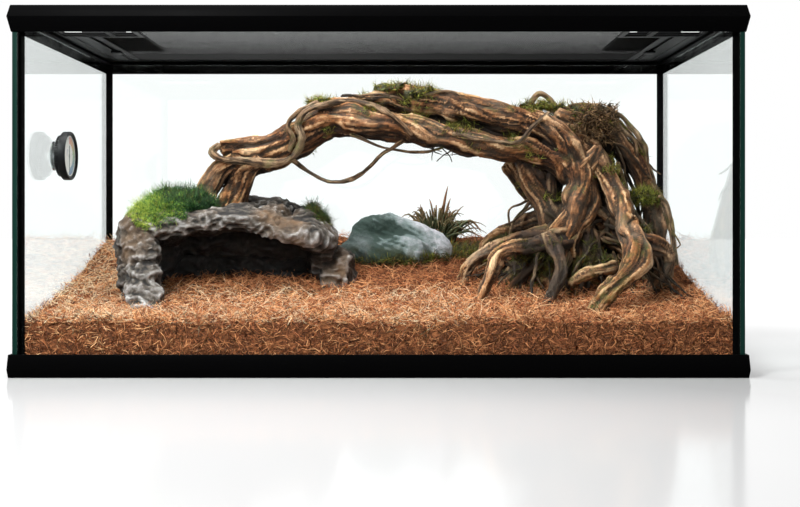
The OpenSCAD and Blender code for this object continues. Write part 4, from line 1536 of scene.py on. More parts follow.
@dataclass
class Lid:
    """Lid frame, insect screen and the two cable-port shutters."""

    effects: Effects
    wire: float = 0.4
    pitch: float = 3.0
    front_half: float = 328.5
    back_half: float = 389.0
    step: float = -49.5
    rear: float = 193.0
    frame_rounding: float = 0.5
    shutter_rounding: float = 0.35
    body: str = "lid"

    def build(self) -> None:
        """Builds and dresses the lid."""
        look = MouldedPlastic("Lid plastic", grey(0.003), 0.45, 0.06, specular=0.06)
        black = look.build(self.effects)
        piece = moulded("lid_frame", self.frame_rounding)
        finish_piece(piece, black, "lid_frame", self.body)
        dress_nodes(black, "screen_retainer")
        self._screen()
        look = MouldedPlastic("Shutter plastic", (0.004, 0.004, 0.0043), 0.48, 0.06, specular=0.08)
        black = look.build(self.effects)
        for side in Side:
            node = f"{side.value}_shutter"
            piece = moulded(node, self.shutter_rounding)
            finish_piece(piece, black, node, node)

    def _wires(self, spans: Array, level: float) -> Array:
        """Returns the eight corners of each straight wire.

        Args:
            spans: Rows of x0, y0, x1, y1.
            level: Height of the wires' middle.

        Returns:
            One row of corners per wire.
        """
        height = np.full(len(spans), level)
        start, end = (np.column_stack([spans[:, i : i + 2], height]) for i in (0, 2))
        side = np.cross(unit(end - start), [0, 0, 1]) * self.wire / 2
        up = np.array([0, 0, self.wire / 2])
        return np.stack([p + s for p in (start, end) for s in (side, up, -side, -up)], axis=1)

    def _screen(self) -> None:
        """Weaves the insect screen as two crossing layers of fine wires."""
        level = box_of("mesh_screen")[0][2] + 0.5 * self.wire
        reach, rear = self.back_half, self.rear
        y = np.arange(-rear + self.pitch, rear, self.pitch)
        x = np.arange(-reach + self.pitch, reach, self.pitch)
        half = np.where(y < self.step, self.front_half, reach)
        start = np.where(abs(x) < self.front_half, -rear, self.step)
        lower = self._wires(np.stack([-half, y, half, y], 1), level)
        columns = np.stack([x, start, x, np.full(len(x), rear)], 1)
        upper = self._wires(columns, level + 0.5 * self.wire)
        screen = boxes("Insect_screen", np.concatenate([lower, upper]))
        wire = Metal("Coated screen wire", grey(0.012), 0.0, 0.5, 0.06).build()
        finish_piece(screen, wire, "mesh_screen", self.body)


# Gauge


@dataclass
class Gauge:
    """Dial gauge on the left glass.

    The lip and the heel are the bezel's profile: distances from its front or back end, and
    from its outer radius.
    """

    effects: Effects
    lip: tuple[tuple[float, float], ...] = (
        (-1.3, 0), (-0.3, -0.5), (0, -1.2), (-0.25, -2.0), (-1.7, -5.2), (-1.8, -5.4), (-1.8, -1.8)
    )
    heel: tuple[tuple[float, float], ...] = ((0, -0.4), (0.5, 0))
    bezel_wall: float = 1.8
    turns: int = 96
    dial_gap: float = 0.75
    dial_thick: float = 0.5
    dial_margin: float = 0.1
    needle_gap: float = 0.15
    needle_thick: float = 0.4
    boss: float = 2.5
    boss_turn: float = 62.0
    tail_half: float = 1.2
    tip_half: float = 0.6

    def build(self) -> None:
        """Builds and dresses the gauge's pieces."""
        look = MouldedPlastic("Gauge plastic", (0.004, 0.004, 0.0045), 0.45, 0.03, 420, 0.6, 0.12)
        black = look.build(self.effects)
        dress_nodes(black, "gauge_shell")
        finish_piece(self._bezel(), black, "gauge_bezel")
        dress_nodes(Glass("Gauge lens", density=0.0, ior=1.12).build(), "gauge_lens")
        cup = Glass("Clear cup rubber", (0.8, 0.9, 0.88), 25.0, 0.12).build()
        dress_nodes(cup, "gauge_suction_cup")
        green = Metal("Needle paint", (0.008, 0.045, 0.016), 0.0, 0.45).build()
        finish_piece(self._needle(), green, "gauge_needle", "gauge_pointer")
        dress_nodes(Metal("Arbor", (0.03, 0.03, 0.028), 0.6, 0.4).build(), "gauge_arbor")
        dress_nodes(Metal("Bimetal", (0.55, 0.4, 0.2), 1.0, 0.35).build(), "gauge_coil")
        centre = tuple(sum(ends) / 2 for ends in zip(*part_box("gauge_dial")))
        dial = PrintedDial("Printed dial", centre).build()
        finish_piece(self._plate(), dial, "gauge_dial")

    def _bezel(self) -> Obj:
        """Turns the bezel: a ring whose lip slopes down to the lens.

        Returns:
            The piece, not yet dressed.
        """
        low, high = box_of("gauge_bezel")
        outer = (high[2] - low[2]) / 2
        profile = [(low[0] + x, 0, outer + r) for x, r in self.heel]
        profile += [(high[0] + x, 0, outer + r) for x, r in self.lip]
        profile.append((low[0], 0, outer - self.bezel_wall))
        count = len(profile)
        edges = [(i, (i + 1) % count) for i in range(count)]
        ring = new_mesh("Gauge_bezel", np.array(profile), [], edges)
        steps = {"steps": self.turns, "render_steps": self.turns}
        merging = {"use_merge_vertices": True, "merge_threshold": 1e-6}
        apply_modifier(ring, "SCREW", axis="X", angle=TAU, **steps, **merging)
        set_points(ring, points_of(ring) + (low + high) / 2 * [0, 1, 1])
        outward(ring, weld(1e-6))
        smooth(ring, SMOOTH_ANGLE)
        return ring

    def _plate(self) -> Obj:
        """Cuts the dial plate, which lies close under the lens.

        Returns:
            The piece, not yet dressed.
        """
        low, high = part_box("gauge_dial")
        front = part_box("gauge_lens")[0].x - self.dial_gap * MM
        focus()
        bpy.ops.mesh.primitive_cylinder_add(
            vertices=self.turns,
            radius=(high.z - low.z) / 2 + self.dial_margin * MM,
            depth=self.dial_thick * MM,
            location=(front - self.dial_thick / 2 * MM, (low.y + high.y) / 2, (low.z + high.z) / 2),
            rotation=(0, math.pi / 2, 0),
        )
        plate = bpy.context.object
        plate.name = "Gauge_dial"
        bpy.ops.object.transform_apply(location=True, rotation=True, scale=True)
        return plate

    def _needle(self) -> Obj:
        """Builds the pointer: a tapering arm, its tail and the boss between them.

        Returns:
            The piece, not yet dressed.
        """
        low, high = box_of("gauge_needle")
        _, y0, z0 = sum(box_of("gauge_arbor")) / 2
        turn = math.radians(self.boss_turn)
        turns = np.linspace(turn, -turn, 12)
        boss = [(self.boss * math.cos(a), self.boss * math.sin(a)) for a in turns]
        right = [(self.tail_half, high[2] - z0), *boss, (self.tip_half, low[2] - z0)]
        outline = right + [(-y, z) for y, z in reversed(right)]
        count = len(outline)
        front = box_of("gauge_lens")[0][0] - self.needle_gap
        ends = (front - self.needle_thick, front)
        rows = [(x, y0 + y, z0 + z) for x in ends for y, z in outline]
        caps = [list(range(count))[::-1], list(range(count, 2 * count))]
        needle = new_mesh("Gauge_needle", np.array(rows), rung_faces(2, count).tolist() + caps)
        outward(needle)
        return needle


# Fibre bed


@dataclass
class FibreBed:
    """Sloped bed of coconut fibre: a packed core under thousands of loose strands."""

    rise: float = 97.0
    wave: float = 2.2
    layers: int = 4
    strands_per_layer: int = 8900
    strand: Strand = Strand((9, 36), (0.6, 1.3), 2.7)
    columns: int = 150
    rows: int = 76
    sunk: float = 2.5
    lump: float = 3.0
    top_share: float = 0.78
    margin: float = 4.0
    crowding: float = 1.25
    lean: float = 0.26
    scatter_height: tuple[float, float] = (-3.0, 4.0)
    wall_margin: float = 8.0
    wall_inset: tuple[float, float] = (0.8, 2.5)
    wall_shares: tuple[float, ...] = (0.55, 0.1, 0.175, 0.175)
    scatter_seed: int = 40
    strand_seed: int = 70
    clearance: float = 0.4
    pile: float = 12.0

    def height(self, x: Array, y: Array) -> Array:
        """Works out the height of the bed's surface.

        Args:
            x: Places from left to right.
            y: Places from front to back.

        Returns:
            The heights.
        """
        depth = fade(y, -INNER_HALF_D, 2 * INNER_HALF_D)
        ripple = np.sin(np.radians(x * 1.3 + y * 0.7)) + np.sin(np.radians(y * 2.1 - x * 0.45))
        return BED_FRONT_Z + self.rise * depth**1.5 + self.wave * ripple / 2

    def build(self) -> None:
        """Builds the core and its strands."""
        self._core()
        fibre = CoconutFibre("Coconut fibre").build()
        for layer in range(self.layers):
            roots, aims = self._scatter(self.strands_per_layer, self.scatter_seed + layer)
            name, seed = f"Fibre_strands_{layer + 1}", self.strand_seed + layer
            piece = strands(name, self.strand, roots, aims, seed)
            self._keep_inside(piece)
            self._tint_with_painted_light(piece, roots)
            finish_piece(piece, fibre, "fibre_bed")

    def _tint_with_painted_light(self, piece: Obj, roots: Array) -> None:
        """Tints each strand and paints light and shade into the tint: shade at the back under the
        arch, on the strands against the glass and in some clumps, and light on the top and towards
        the left.

        Args:
            piece: The strands.
            roots: Where each strand starts.
        """
        x, y, _ = roots.T
        back = fade(y, -55, 60) * fade(x, -330, 60)
        wall = (abs(x) > INNER_HALF_W - 3) | (abs(y) > INNER_HALF_D - 3)
        clumps = Roughness(12).layered(roots / [24, 24, 9], 3)
        light = (1 - 0.42 * back) * np.where(wall, 0.66, 1.14)
        light *= 1 - 0.75 * np.clip(clumps - 0.18, 0, 0.7)
        light *= 1 - 0.2 * fade(x, 60, 90) + 0.35 * fade(x, -290, -70)
        each = len(piece.data.vertices) // len(roots)
        tint = np.clip(np.random.default_rng(13).uniform(-0.16, 1.16, len(roots)), 0, 1)
        # Each strand's tint carries the painted light and shade.
        paint(piece, "tint", np.repeat(tint * light, each))

    def _core(self) -> None:
        """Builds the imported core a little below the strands."""
        x, y = (
            np.linspace(1 - half, half - 1, count)
            for half, count in ((INNER_HALF_W, self.columns), (INNER_HALF_D, self.rows))
        )
        x, y = (axis.ravel() for axis in np.meshgrid(x, y))
        lumps = Roughness(11).layered(np.stack([x / 26, y / 26, 0 * x], 1), 3)
        upper = np.stack([x, y, self.height(x, y) - self.sunk + self.lump * lumps], 1)
        lower = np.stack([x, y, np.full(len(x), BASE_TOP_Z + 0.3)], 1)
        grid = np.arange(len(x)).reshape(self.rows, self.columns)
        quads = [grid[:-1, :-1], grid[:-1, 1:], grid[1:, 1:], grid[1:, :-1]]
        faces = np.stack([corner.ravel() for corner in quads], 1).tolist()
        rim = [grid[0], grid[1:, -1], grid[-1, -2::-1], grid[-2:0:-1, 0]]
        rim = np.concatenate(rim).tolist()
        faces += [(b, a, len(x) + a, len(x) + b) for a, b in zip(rim, rim[1:] + rim[:1])]
        faces.append([len(x) + a for a in reversed(rim)])
        core = new_mesh("Fibre_core", np.vstack([upper, lower]), faces)
        outward(core, bpy.ops.mesh.delete_loose)
        smooth(core, 50)
        finish_piece(core, FibreMat("Packed fibre").build(), "fibre_bed")

    def _scatter(self, count: int, seed: int) -> tuple[Array, Array]:
        """Scatters strands over the top and against the glass.

        Args:
            count: Number of strands.
            seed: Makes the same scatter each run.

        Returns:
            Their roots and directions.
        """
        rng = np.random.default_rng(seed)
        half_w, half_d = INNER_HALF_W, INNER_HALF_D
        on_top = int(self.top_share * count)
        x = rng.uniform(-half_w + self.margin, half_w - self.margin, on_top)
        span = 2 * half_d - 2 * self.margin
        y = -half_d + self.margin + span * rng.uniform(0, 1, on_top) ** self.crowding
        z = self.height(x, y) + rng.uniform(*self.scatter_height, on_top)
        turn = rng.uniform(0, TAU, on_top)
        slope = (self.height(x, y + 1) - self.height(x, y - 1)) / 2
        lift = np.sin(turn) * slope + rng.normal(0, self.lean, on_top)
        aims = np.stack([np.cos(turn), np.sin(turn), lift], 1)
        roots = np.stack([x, y, z], 1)
        rest = count - on_top
        wall = rng.choice(4, rest, p=self.wall_shares)
        run, drop = rng.uniform(-1, 1, rest), rng.uniform(0, 1, rest)
        turn, inset = rng.uniform(0, TAU, rest), rng.uniform(*self.wall_inset, rest)
        flat = wall < 2
        side, face = np.where(wall == 2, -1, 1), np.where(wall == 0, -1, 1)
        x = np.where(flat, run * (half_w - self.wall_margin), side * (half_w - inset))
        y = np.where(flat, face * (half_d - inset), run * (half_d - self.wall_margin))
        z = BASE_TOP_Z + 2 + (self.height(x, y) - BASE_TOP_Z - 1) * drop
        sway = np.cos(turn)
        wall_aims = [np.where(flat, sway, 0), np.where(flat, 0, sway), 0.8 * np.sin(turn) + 0.01]
        wall_roots = np.stack([x, y, z], 1)
        return np.vstack([roots, wall_roots]), np.vstack([aims, np.stack(wall_aims, 1)])

    def _keep_inside(self, piece: Obj) -> None:
        """Holds every strand inside the glass and above the base pane.

        Args:
            piece: The strands.
        """
        x, y, z = points_of(piece).T
        half_w, half_d = INNER_HALF_W - self.clearance, INNER_HALF_D - self.clearance
        x, y = np.clip(x, -half_w, half_w), np.clip(y, -half_d, half_d)
        z = np.clip(z, BASE_TOP_Z + 0.5, self.height(x, y) + self.pile)
        set_points(piece, np.stack([x, y, z], 1))


# Driftwood. Each limb is rows of x, y, height above the bed's front, and radius.

LEFT_LEGS: list[Rows] = [
    [(-256, 4, 120, 15), (-250, 6, 160, 14), (-240, 10, 182, 13), (-228, 14, 200, 12),
     (-205, 18, 214, 13)],
    [(-222, 20, 120, 22), (-214, 20, 150, 23), (-206, 20, 172, 20), (-198, 22, 196, 20),
     (-180, 22, 216, 21)],
]
ARCH: list[Rows] = [
    [(-210, 22, 212, 18), (-170, 22, 216, 19), (-140, 22, 226, 22), (-110, 22, 246, 23),
     (-80, 22, 262, 23), (-45, 20, 267, 22), (0, 16, 262, 21), (45, 12, 252, 19),
     (90, 6, 243, 18), (150, 2, 230, 17), (205, -2, 221, 17), (246, -6, 209, 18),
     (268, -8, 184, 15)],
    [(-75, 34, 286, 12), (-25, 34, 293, 13), (25, 30, 298, 16), (70, 22, 292, 19),
     (115, 16, 284, 18), (160, 12, 275, 18), (205, 6, 266, 19), (245, 0, 250, 20),
     (265, -4, 230, 20), (276, -8, 203, 22), (280, -14, 170, 25), (275, -16, 138, 26),
     (262, -16, 112, 24), (250, -10, 80, 26), (240, 0, 40, 30)],
    [(-230, 18, 228, 9), (-205, 20, 232, 11), (-170, 22, 235, 12), (-133, 24, 250, 12),
     (-90, 30, 276, 10)],
    [(20, 36, 282, 11), (70, 36, 270, 14), (130, 34, 258, 15), (190, 30, 248, 15),
     (240, 22, 236, 16)],
    [(196, 8, 216, 13), (210, 12, 192, 15), (222, 14, 168, 16), (236, 10, 142, 17),
     (250, 4, 116, 18)],
    [(232, 16, 236, 15), (238, 20, 200, 17), (240, 20, 165, 17), (246, 16, 130, 18)],
]
RIGHT_BRANCHES: list[Rows] = [
    [(276, -10, 190, 15), (296, -15, 212, 10), (305, -18, 226, 5)],
    [(270, 4, 236, 14), (296, 2, 224, 14), (314, -14, 192, 14), (326, -28, 164, 14),
     (334, -44, 140, 15), (338, -58, 114, 15), (343, -78, 100, 15), (343, -98, 82, 15),
     (336, -114, 62, 15), (318, -124, 44, 13), (296, -132, 26, 11), (276, -140, -4, 7)],
    [(343, -78, 100, 13), (368, -64, 92, 11), (388, -54, 84, 12), (394, -44, 66, 11),
     (378, -38, 30, 12), (366, -34, -10, 12)],
    [(250, 14, 268, 14), (313, 22, 260, 17), (345, 22, 228, 14), (370, 22, 190, 13),
     (387, 26, 146, 13), (396, 32, 104, 13), (402, 34, 50, 12), (404, 34, 10, 10)],
    [(300, -10, 140, 12), (330, 0, 110, 14), (350, 10, 60, 16), (352, 12, 10, 14)],
    [(256, -76, 40, 5), (276, -78, 50, 7), (296, -74, 55, 7), (320, -58, 60, 6)],
]
ROOTS: list[Rows] = [
    [(258, -22, 100, 17), (230, -34, 94, 12), (200, -48, 88, 10), (174, -62, 84, 9),
     (158, -72, 74, 8), (146, -82, 48, 7), (132, -90, 12, 6)],
    [(234, -14, 108, 13), (196, -4, 98, 10), (160, 2, 84, 9), (126, 6, 62, 7), (108, 8, 20, 6)],
    [(251, 32, 132, 15), (230, 46, 126, 12), (202, 62, 116, 10), (173, 72, 104, 9),
     (150, 76, 84, 7), (138, 78, 40, 6)],
    [(274, -18, 116, 12), (249, -22, 92, 9), (220, -28, 68, 7), (192, -34, 40, 6),
     (176, -38, 4, 5)],
    [(262, -10, 100, 22), (215, 10, 70, 20), (180, 20, 30, 16), (165, 24, -10, 12)],
    [(286, -14, 110, 14), (292, -30, 72, 8), (280, -48, 38, 6), (264, -62, -4, 5)],
    [(262, 10, 100, 22), (300, 30, 70, 20), (330, 50, 30, 16), (350, 60, -10, 12)],
    [(183, 46, 206, 9), (200, 50, 186, 11), (223, 50, 158, 13), (248, 40, 136, 14),
     (262, 20, 120, 14)],
    [(230, -40, 104, 8), (244, -70, 66, 9), (232, -92, 34, 8), (216, -104, 0, 6)],
]
VINES: list[Rows] = [
    [(256, 22, 268, 4), (244, 22, 294, 4.5), (228, 22, 306, 5), (218, 22, 298, 4.5),
     (205, 14, 276, 4)],
    [(262, 26, 282, 4), (290, 28, 290, 4.5), (318, 28, 281, 4.5), (350, 28, 255, 4.5),
     (374, 28, 223, 4.5), (387, 28, 190, 4.5), (397, 28, 158, 4), (408, 24, 124, 3.5),
     (418, 18, 96, 3), (422, 14, 60, 2.5)],
    [(-232, 8, 232, 4), (-242, 4, 220, 5), (-226, 1, 210, 5.5), (-196, 0, 208, 6),
     (-165, -2, 205, 6), (-138, -4, 208, 6), (-121, -6, 220, 5.5), (-114, -7, 240, 5.5),
     (-118, -5, 260, 5), (-106, -3, 280, 5), (-60, 9, 293, 4.5), (-17, 7, 289, 4.5),
     (14, -3, 272, 4.5), (42, -5, 246, 3)],
    [(-132, -3, 222, 3), (-126, -6, 240, 4), (-134, -6, 258, 4), (-120, -3, 276, 4),
     (-92, 2, 292, 3.5)],
    [(40, 8, 300, 2), (68, 6, 305, 2.5), (89, 6, 308, 2.5), (104, 6, 305, 2.5), (118, 8, 296, 2)],
    [(226, 30, 166, 2.2), (205, 24, 150, 2), (186, 18, 142, 1.8), (181, 16, 132, 1.8),
     (184, 14, 112, 1.6)],
    [(226, 26, 152, 1.8), (206, 20, 137, 1.8), (186, 14, 122, 1.6), (172, 10, 116, 1.2)],
    [(300, 8, 286, 3.5), (327, 6, 270, 3.2), (341, 6, 256, 3), (355, 6, 241, 3), (362, 6, 229, 3),
     (363, 8, 208, 2.5)],
    [(300, 14, 288, 3.5), (318, 12, 284, 3.5), (341, 10, 273, 4), (358, 10, 255, 4),
     (370, 10, 238, 4), (378, 12, 221, 3.5), (380, 14, 196, 3)],
    [(392, -6, 158, 1.8), (402, -10, 150, 1.6), (407, -12, 131, 1.6), (407, -14, 113, 1.5),
     (415, -16, 99, 1.4), (420, -16, 90, 1.2), (414, -16, 84, 1)],
    [(-134, 10, 214, 3), (-105, 10, 193, 3), (-85, 10, 182, 3), (-65, 10, 178, 3),
     (-39, 10, 185, 3), (-19, 10, 199, 3), (-3, 10, 216, 3), (17, 10, 229, 3), (42, 12, 246, 3)],
    [(-46, 8, 248, 2.5), (4, 4, 227, 2), (60, 4, 221, 2), (96, 6, 232, 2)],
    [(100, -12, 246, 3), (150, -18, 236, 3), (192, -22, 234, 3), (212, -20, 256, 3),
     (236, -10, 276, 3)],
    [(336, 10, 206, 3), (346, -6, 168, 3), (354, -22, 136, 3), (370, -36, 112, 3),
     (388, -48, 84, 3)],
    [(222, 42, 160, 3), (206, 36, 140, 2.5), (190, 30, 122, 2.5), (182, 24, 96, 2.5)],
    [(366, 20, 202, 4), (392, 10, 168, 4), (408, 0, 128, 4), (412, -6, 84, 4), (408, -8, 30, 3)],
]
WOOD_LIMBS = {
    "Driftwood_arch": LEFT_LEGS + ARCH,
    "Driftwood_branches": RIGHT_BRANCHES,
    "Driftwood_roots": ROOTS,
}


@dataclass
class Driftwood:
    """The arch of driftwood: fused limbs with folds, knots and cracks along the grain."""

    effects: Effects
    voxel: float = 2.1
    heart: float = 0.84
    cord: float = 3.6
    carving: float = 0.8
    # Reach of the rays that paint shade where the wood covers itself.
    shelter: float = 130.0
    rough: Roughness = field(default_factory=lambda: Roughness(5))

    def build(self) -> None:
        """Builds the arch, the right side, the roots and the vines."""
        wood = WeatheredWood("Driftwood").build(self.effects)
        for name, limbs in WOOD_LIMBS.items():
            piece = self._fused(name, limbs)
            if limbs is ROOTS:
                self._darken(piece)
            smooth(piece)
            finish_piece(piece, wood, "driftwood")
        self._vines()

    def _limb(self, rows: Rows, index: int) -> list[Sweep]:
        """Twists one limb out of several cords, as old roots grow.

        Args:
            rows: Its points.
            index: Sets its own folds and grain.

        Returns:
            The heartwood and the cords round it.
        """
        path = smooth_path(rows, 3.0)
        path[:, 2] += BED_FRONT_Z
        path[:, 0] += 1.5 * self.rough.layered(path[:, :3] / 45 + 9.7 * index, 2)
        path[:, 3] *= 1 + 0.14 * self.rough.at(path[:, :3] / 24 + 5.1 * index)
        along, tangent = course(path[:, :3])
        side = unit(np.cross(tangent, [0.15, 1.0, 0.1]))
        other = np.cross(tangent, side)
        count = max(3, min(5, round(float(path[:, 3].mean()) / self.cord)))
        grain = 400.0 * index
        cords = [sweep(path * [1, 1, 1, self.heart], 30, grain)]
        zero = along * 0
        for cord in range(count):
            seed = 31.7 * index + 7.9 * cord
            wander = self.rough.at(np.column_stack([along / 70, zero + seed, zero]))
            angle = TAU * cord / count + 0.9 * index + along * 0.009 + 1.3 * wander
            swell = 1 + 0.55 * self.rough.at(np.column_stack([along / 42, zero, zero + seed]))
            own = path.copy()
            out = ((0.42 + 0.2 * swell) * path[:, 3])[:, None]
            own[:, :3] += out * (np.cos(angle)[:, None] * side + np.sin(angle)[:, None] * other)
            own[:, 3] *= (0.68 - 0.055 * count) * swell
            cords.append(sweep(own, 20, grain + 60.0 * (cord + 1)))
        return cords

    def _fused(self, name: str, limbs: list[Rows]) -> Obj:
        """Fuses limbs into one surface and carves it along the grain.

        Args:
            name: The piece's name.
            limbs: The limbs' points.

        Returns:
            The carved object.
        """
        whole = merge([cord for i, rows in enumerate(limbs) for cord in self._limb(rows, i + 1)])
        obj = new_mesh(name, whole.points, whole.faces)
        points, normals = remesh(obj, self.voxel)
        tree = kdtree.KDTree(len(whole.points))
        for i, point in enumerate(whole.points):
            tree.insert(point, i)
        tree.balance()
        grain = whole.grain[[tree.find(point)[1] for point in points]]
        stretched = grain * [1 / 9, 1 / 9, 1 / 120]
        carve = 2.1 * self.rough.ridged(stretched, 2) + 1.3 * self.rough.ridged(stretched * 2.4, 2)
        knots = np.clip(self.rough.at(points / 24) - 0.35, 0, 1) * 9
        bumps = 1.5 * self.rough.layered(points / 30, 3) + knots
        push(obj, points, normals, self.carving * carve + bumps - 0.9)
        paint(obj, "grain", grain)
        paint_hollows(obj, 8, 2.0)
        # Painted shade where the wood covers itself.
        paint_shade(obj, self.shelter)
        self._weather(obj)
        return obj

    def _darken(self, obj: Obj) -> None:
        """Paints shade into the inner roots, which lie under the trunk.

        Args:
            obj: The roots.
        """
        points = points_of(obj)
        x, y, z = points.T
        inner = fade(x, 168, 30) * fade(z - BED_FRONT_Z, 130, -40) * fade(x, 345, -25)
        inner *= np.where(y < -44, 0.72, 1.0)
        self._darken_further(obj, inner * (0.92 + 0.3 * self.rough.layered(points / 30, 3)))

    def _darken_further(self, obj: Obj, darkening: Array) -> None:
        """Darkens wood further through its painted shade, where the given darkening is more than
        what is painted there.

        Args:
            obj: The wood.
            darkening: How dark each corner is to be, from 0 to 1.
        """
        held = np.zeros(len(darkening), np.float32)
        obj.data.attributes["shelter"].data.foreach_get("value", held)
        paint(obj, "shelter", np.clip(np.maximum(held, darkening), 0, 1))

    def _weather(self, obj: Obj) -> None:
        """Marks where the wood is bleached, where moss film grows and where bark is left.

        Args:
            obj: The wood.
        """
        points, up = points_of(obj), np.clip(normals_of(obj)[:, 2], 0, 1)
        x, z = points[:, 0], points[:, 2] - BED_FRONT_Z
        bleached = np.maximum(
            fade(x, 290, 40) * fade(z, 150, -40), fade(x, 170, -30) * fade(z, 110, -20)
        )
        paint(obj, "tone", 0.35 + 0.65 * bleached)
        film = up * np.clip(self.rough.layered(points / 40, 3) + 0.1, 0, 1)
        low = fade(z, 70, -40) * fade(x, 160, 30) * (x < 330)
        paint(obj, "moss", np.clip(film + 0.5 * low, 0, 1))
        # The bark patches are darkened through the same attribute as the painted shade.
        bark = fade(x, 296, 20) * fade(z, 150, 30)
        self._darken_further(obj, bark * np.clip(0.3 + 0.4 * self.rough.layered(points / 30, 2), 0, 0.6))

    def _twist(self, angle: Array, along: Array) -> Array:
        """Returns a vine's radius as a share of the plain one: ridges that wind along it."""
        wind = np.cos(2 * angle + along * 0.06) + 0.6 * np.cos(5 * angle - along * 0.09)
        return 0.95 + 0.11 * wind + 0.14 * np.sin(along * 0.11) * np.sin(along * 0.031 + 1)

    def _vines(self) -> None:
        """Builds the thin dark vines and twigs."""
        tubes = []
        for index, rows in enumerate(VINES):
            path = smooth_path(rows, 4.0)
            path[:, 2] += BED_FRONT_Z
            shifts = [k + 3 * index for k in (0.2, 40.1, 80.3)]
            path[:, :3] += 0.9 * self.rough.drift(path[:, :3] / 14, shifts)
            path[:, 3] *= 1 + 0.16 * self.rough.at(path[:, :3] / 8 + index)
            tubes.append(sweep(path, 14, 100.0 * index, self._twist))

        def marks(points: Array) -> dict[str, float | Array]:
            """Returns what the material reads."""
            moss = np.clip(self.rough.layered(points / 20, 2), 0, 0.6)
            return {"tone": 0.4, "shelter": 0.0, "moss": moss}

        obj = thin_wood("Wood_vines", tubes, 1.0, marks)
        bark = WeatheredWood(
            "Vine bark", (0.5, 0.35, 0.21), (0.2, 0.115, 0.058), (0.024, 0.013, 0.007), 2.4
        )
        finish_piece(obj, bark.build(self.effects), "wood_vines")


class LowerEnd(Enum):
    """Where the thin roots of a bundle end."""

    GROUND = "in the bed"
    AIR = "in the air, in the bundle's end box"


AIR = LowerEnd.AIR


@dataclass(frozen=True)
class Thicket:
    """A bundle of thin wild roots between two boxes, heights above the bed's front."""

    start: tuple[float, ...]
    end: tuple[float, ...]
    count: int
    radius: tuple[float, float]
    wander: float = 12.0
    lower_end: LowerEnd = LowerEnd.GROUND


@dataclass
class RootTangle:
    """The dark tangle of thin roots and fibres that fills the driftwood's right side."""

    effects: Effects
    bed: FibreBed
    thickets: tuple[Thicket, ...] = (
        Thicket((215, -30, 70, 335, 50, 150), (172, -78, 0, 398, 84, 0), 80, (1.4, 4.2)),
        Thicket((256, 24, 200, 340, 66, 285), (264, 34, 0, 392, 82, 0), 54, (2.2, 5.5), 15),
        Thicket((165, -20, 40, 250, 60, 105), (118, -60, 0, 230, 80, 0), 30, (1.2, 3.0)),
        Thicket((215, 0, 262, 325, 36, 292), (300, 14, 60, 408, 46, 190), 16, (1.6, 3.6), 12, AIR),
        Thicket((-60, 12, 284, 0, 40, 304), (-20, 4, 276, 60, 34, 300), 16, (1.0, 2.4), 9, AIR),
        Thicket((50, 0, 232, 130, 20, 245), (60, -10, 196, 110, 20, 226), 9, (0.8, 1.8), 8, AIR),
        Thicket((300, -30, 60, 345, 40, 120), (345, -90, 0, 425, 30, 0), 26, (1.2, 3.4)),
    )
    depth_range: tuple[float, float] = (-150, 195)
    rooted: float = 6.0
    fibres: int = 2200
    fibre_centre: Triple = (298.0, 12, 261 + BED_FRONT_Z)
    fibre: Growth = Growth(
        "Brown_fibres", Strand((6, 17), (0.9, 2.8), 1.7, 3, 0.4), 33, 0.5, "olive_moss", "wood_moss"
    )
    fibre_stops: Stops = (
        (0.2, (0.02, 0.011, 0.006)),
        (0.45, (0.085, 0.045, 0.021)),
        (0.7, (0.23, 0.125, 0.058)),
        (0.95, (0.5, 0.3, 0.14)),
    )

    def build(self) -> None:
        """Builds the roots, then the fibres that hang in them."""
        rough = Roughness(61)
        rng = np.random.default_rng(29)
        tubes = []
        for thicket in self.thickets:
            for _ in range(thicket.count):
                tubes.append(self._root(thicket, rng, rough, len(tubes)))

        def marks(points: Array) -> dict[str, float | Array]:
            """Returns what the material reads."""
            moss = np.clip(rough.layered(points / 30, 2) + 0.2, 0, 0.9)
            # Painted shade, deep in patches, that keeps the tangle's inside dark.
            shelter = np.clip(0.5 + 0.5 * rough.layered(points / 35, 2), 0, 0.9)
            return {"tone": 0.3, "moss": moss, "shelter": shelter}

        obj = thin_wood("Root_tangle", tubes, 0.8, marks)
        bark = WeatheredWood(
            "Root bark", (0.34, 0.21, 0.115), (0.13, 0.075, 0.038), (0.02, 0.011, 0.006), 2.2
        )
        finish_piece(obj, bark.build(self.effects), "wood_vines")
        rng = np.random.default_rng(31)
        spread = rng.normal(size=(self.fibres, 3)).clip(-1.9, 1.9) * [18, 14, 14]
        aims = rng.normal(size=(self.fibres, 3)) + [0.1, -0.3, -0.2]
        dry = Greenery("Dry brown fibre", self.fibre_stops, 0.75, 0.0).build()
        self.fibre.grow(np.array(self.fibre_centre) + spread, aims, dry)

    def _root(
        self, thicket: Thicket, rng: np.random.Generator, rough: Roughness, index: int
    ) -> Sweep:
        """Grows one root from its start box to its end box.

        Args:
            thicket: The bundle that it belongs to.
            rng: The bundle's random numbers.
            rough: Noise for its bends.
            index: Its number.

        Returns:
            The root.
        """
        start = rng.uniform(thicket.start[:3], thicket.start[3:])
        end = rng.uniform(thicket.end[:3], thicket.end[3:])
        start[2] += BED_FRONT_Z
        end[2] += BED_FRONT_Z
        if thicket.lower_end is LowerEnd.GROUND:
            end[2] = float(self.bed.height(end[0], end[1])) - self.rooted
        middle = (start + end) / 2 + rng.normal(0, thicket.wander, 3)
        out = (end - start) * [0.16, 0.16, 0]
        upper, lower = (start + middle) / 2 + out, (middle + end) / 2 + out * 0.6
        path = smooth_path([start, upper, middle + out, lower, end], 5.0)
        shifts = [k + 2.3 * index for k in (0.4, 30.4, 60.4)]
        path = path + 0.35 * thicket.wander * rough.drift(path / 20, shifts)
        path[:, 1] = np.clip(path[:, 1], *self.depth_range)
        base = rng.uniform(*thicket.radius)
        radius = base * np.linspace(1, 0.45, len(path)) * (1 + 0.2 * rough.at(path / 9 + index))
        return sweep(np.column_stack([path, radius]), 7, 30.0 * index)


# Hide and stone


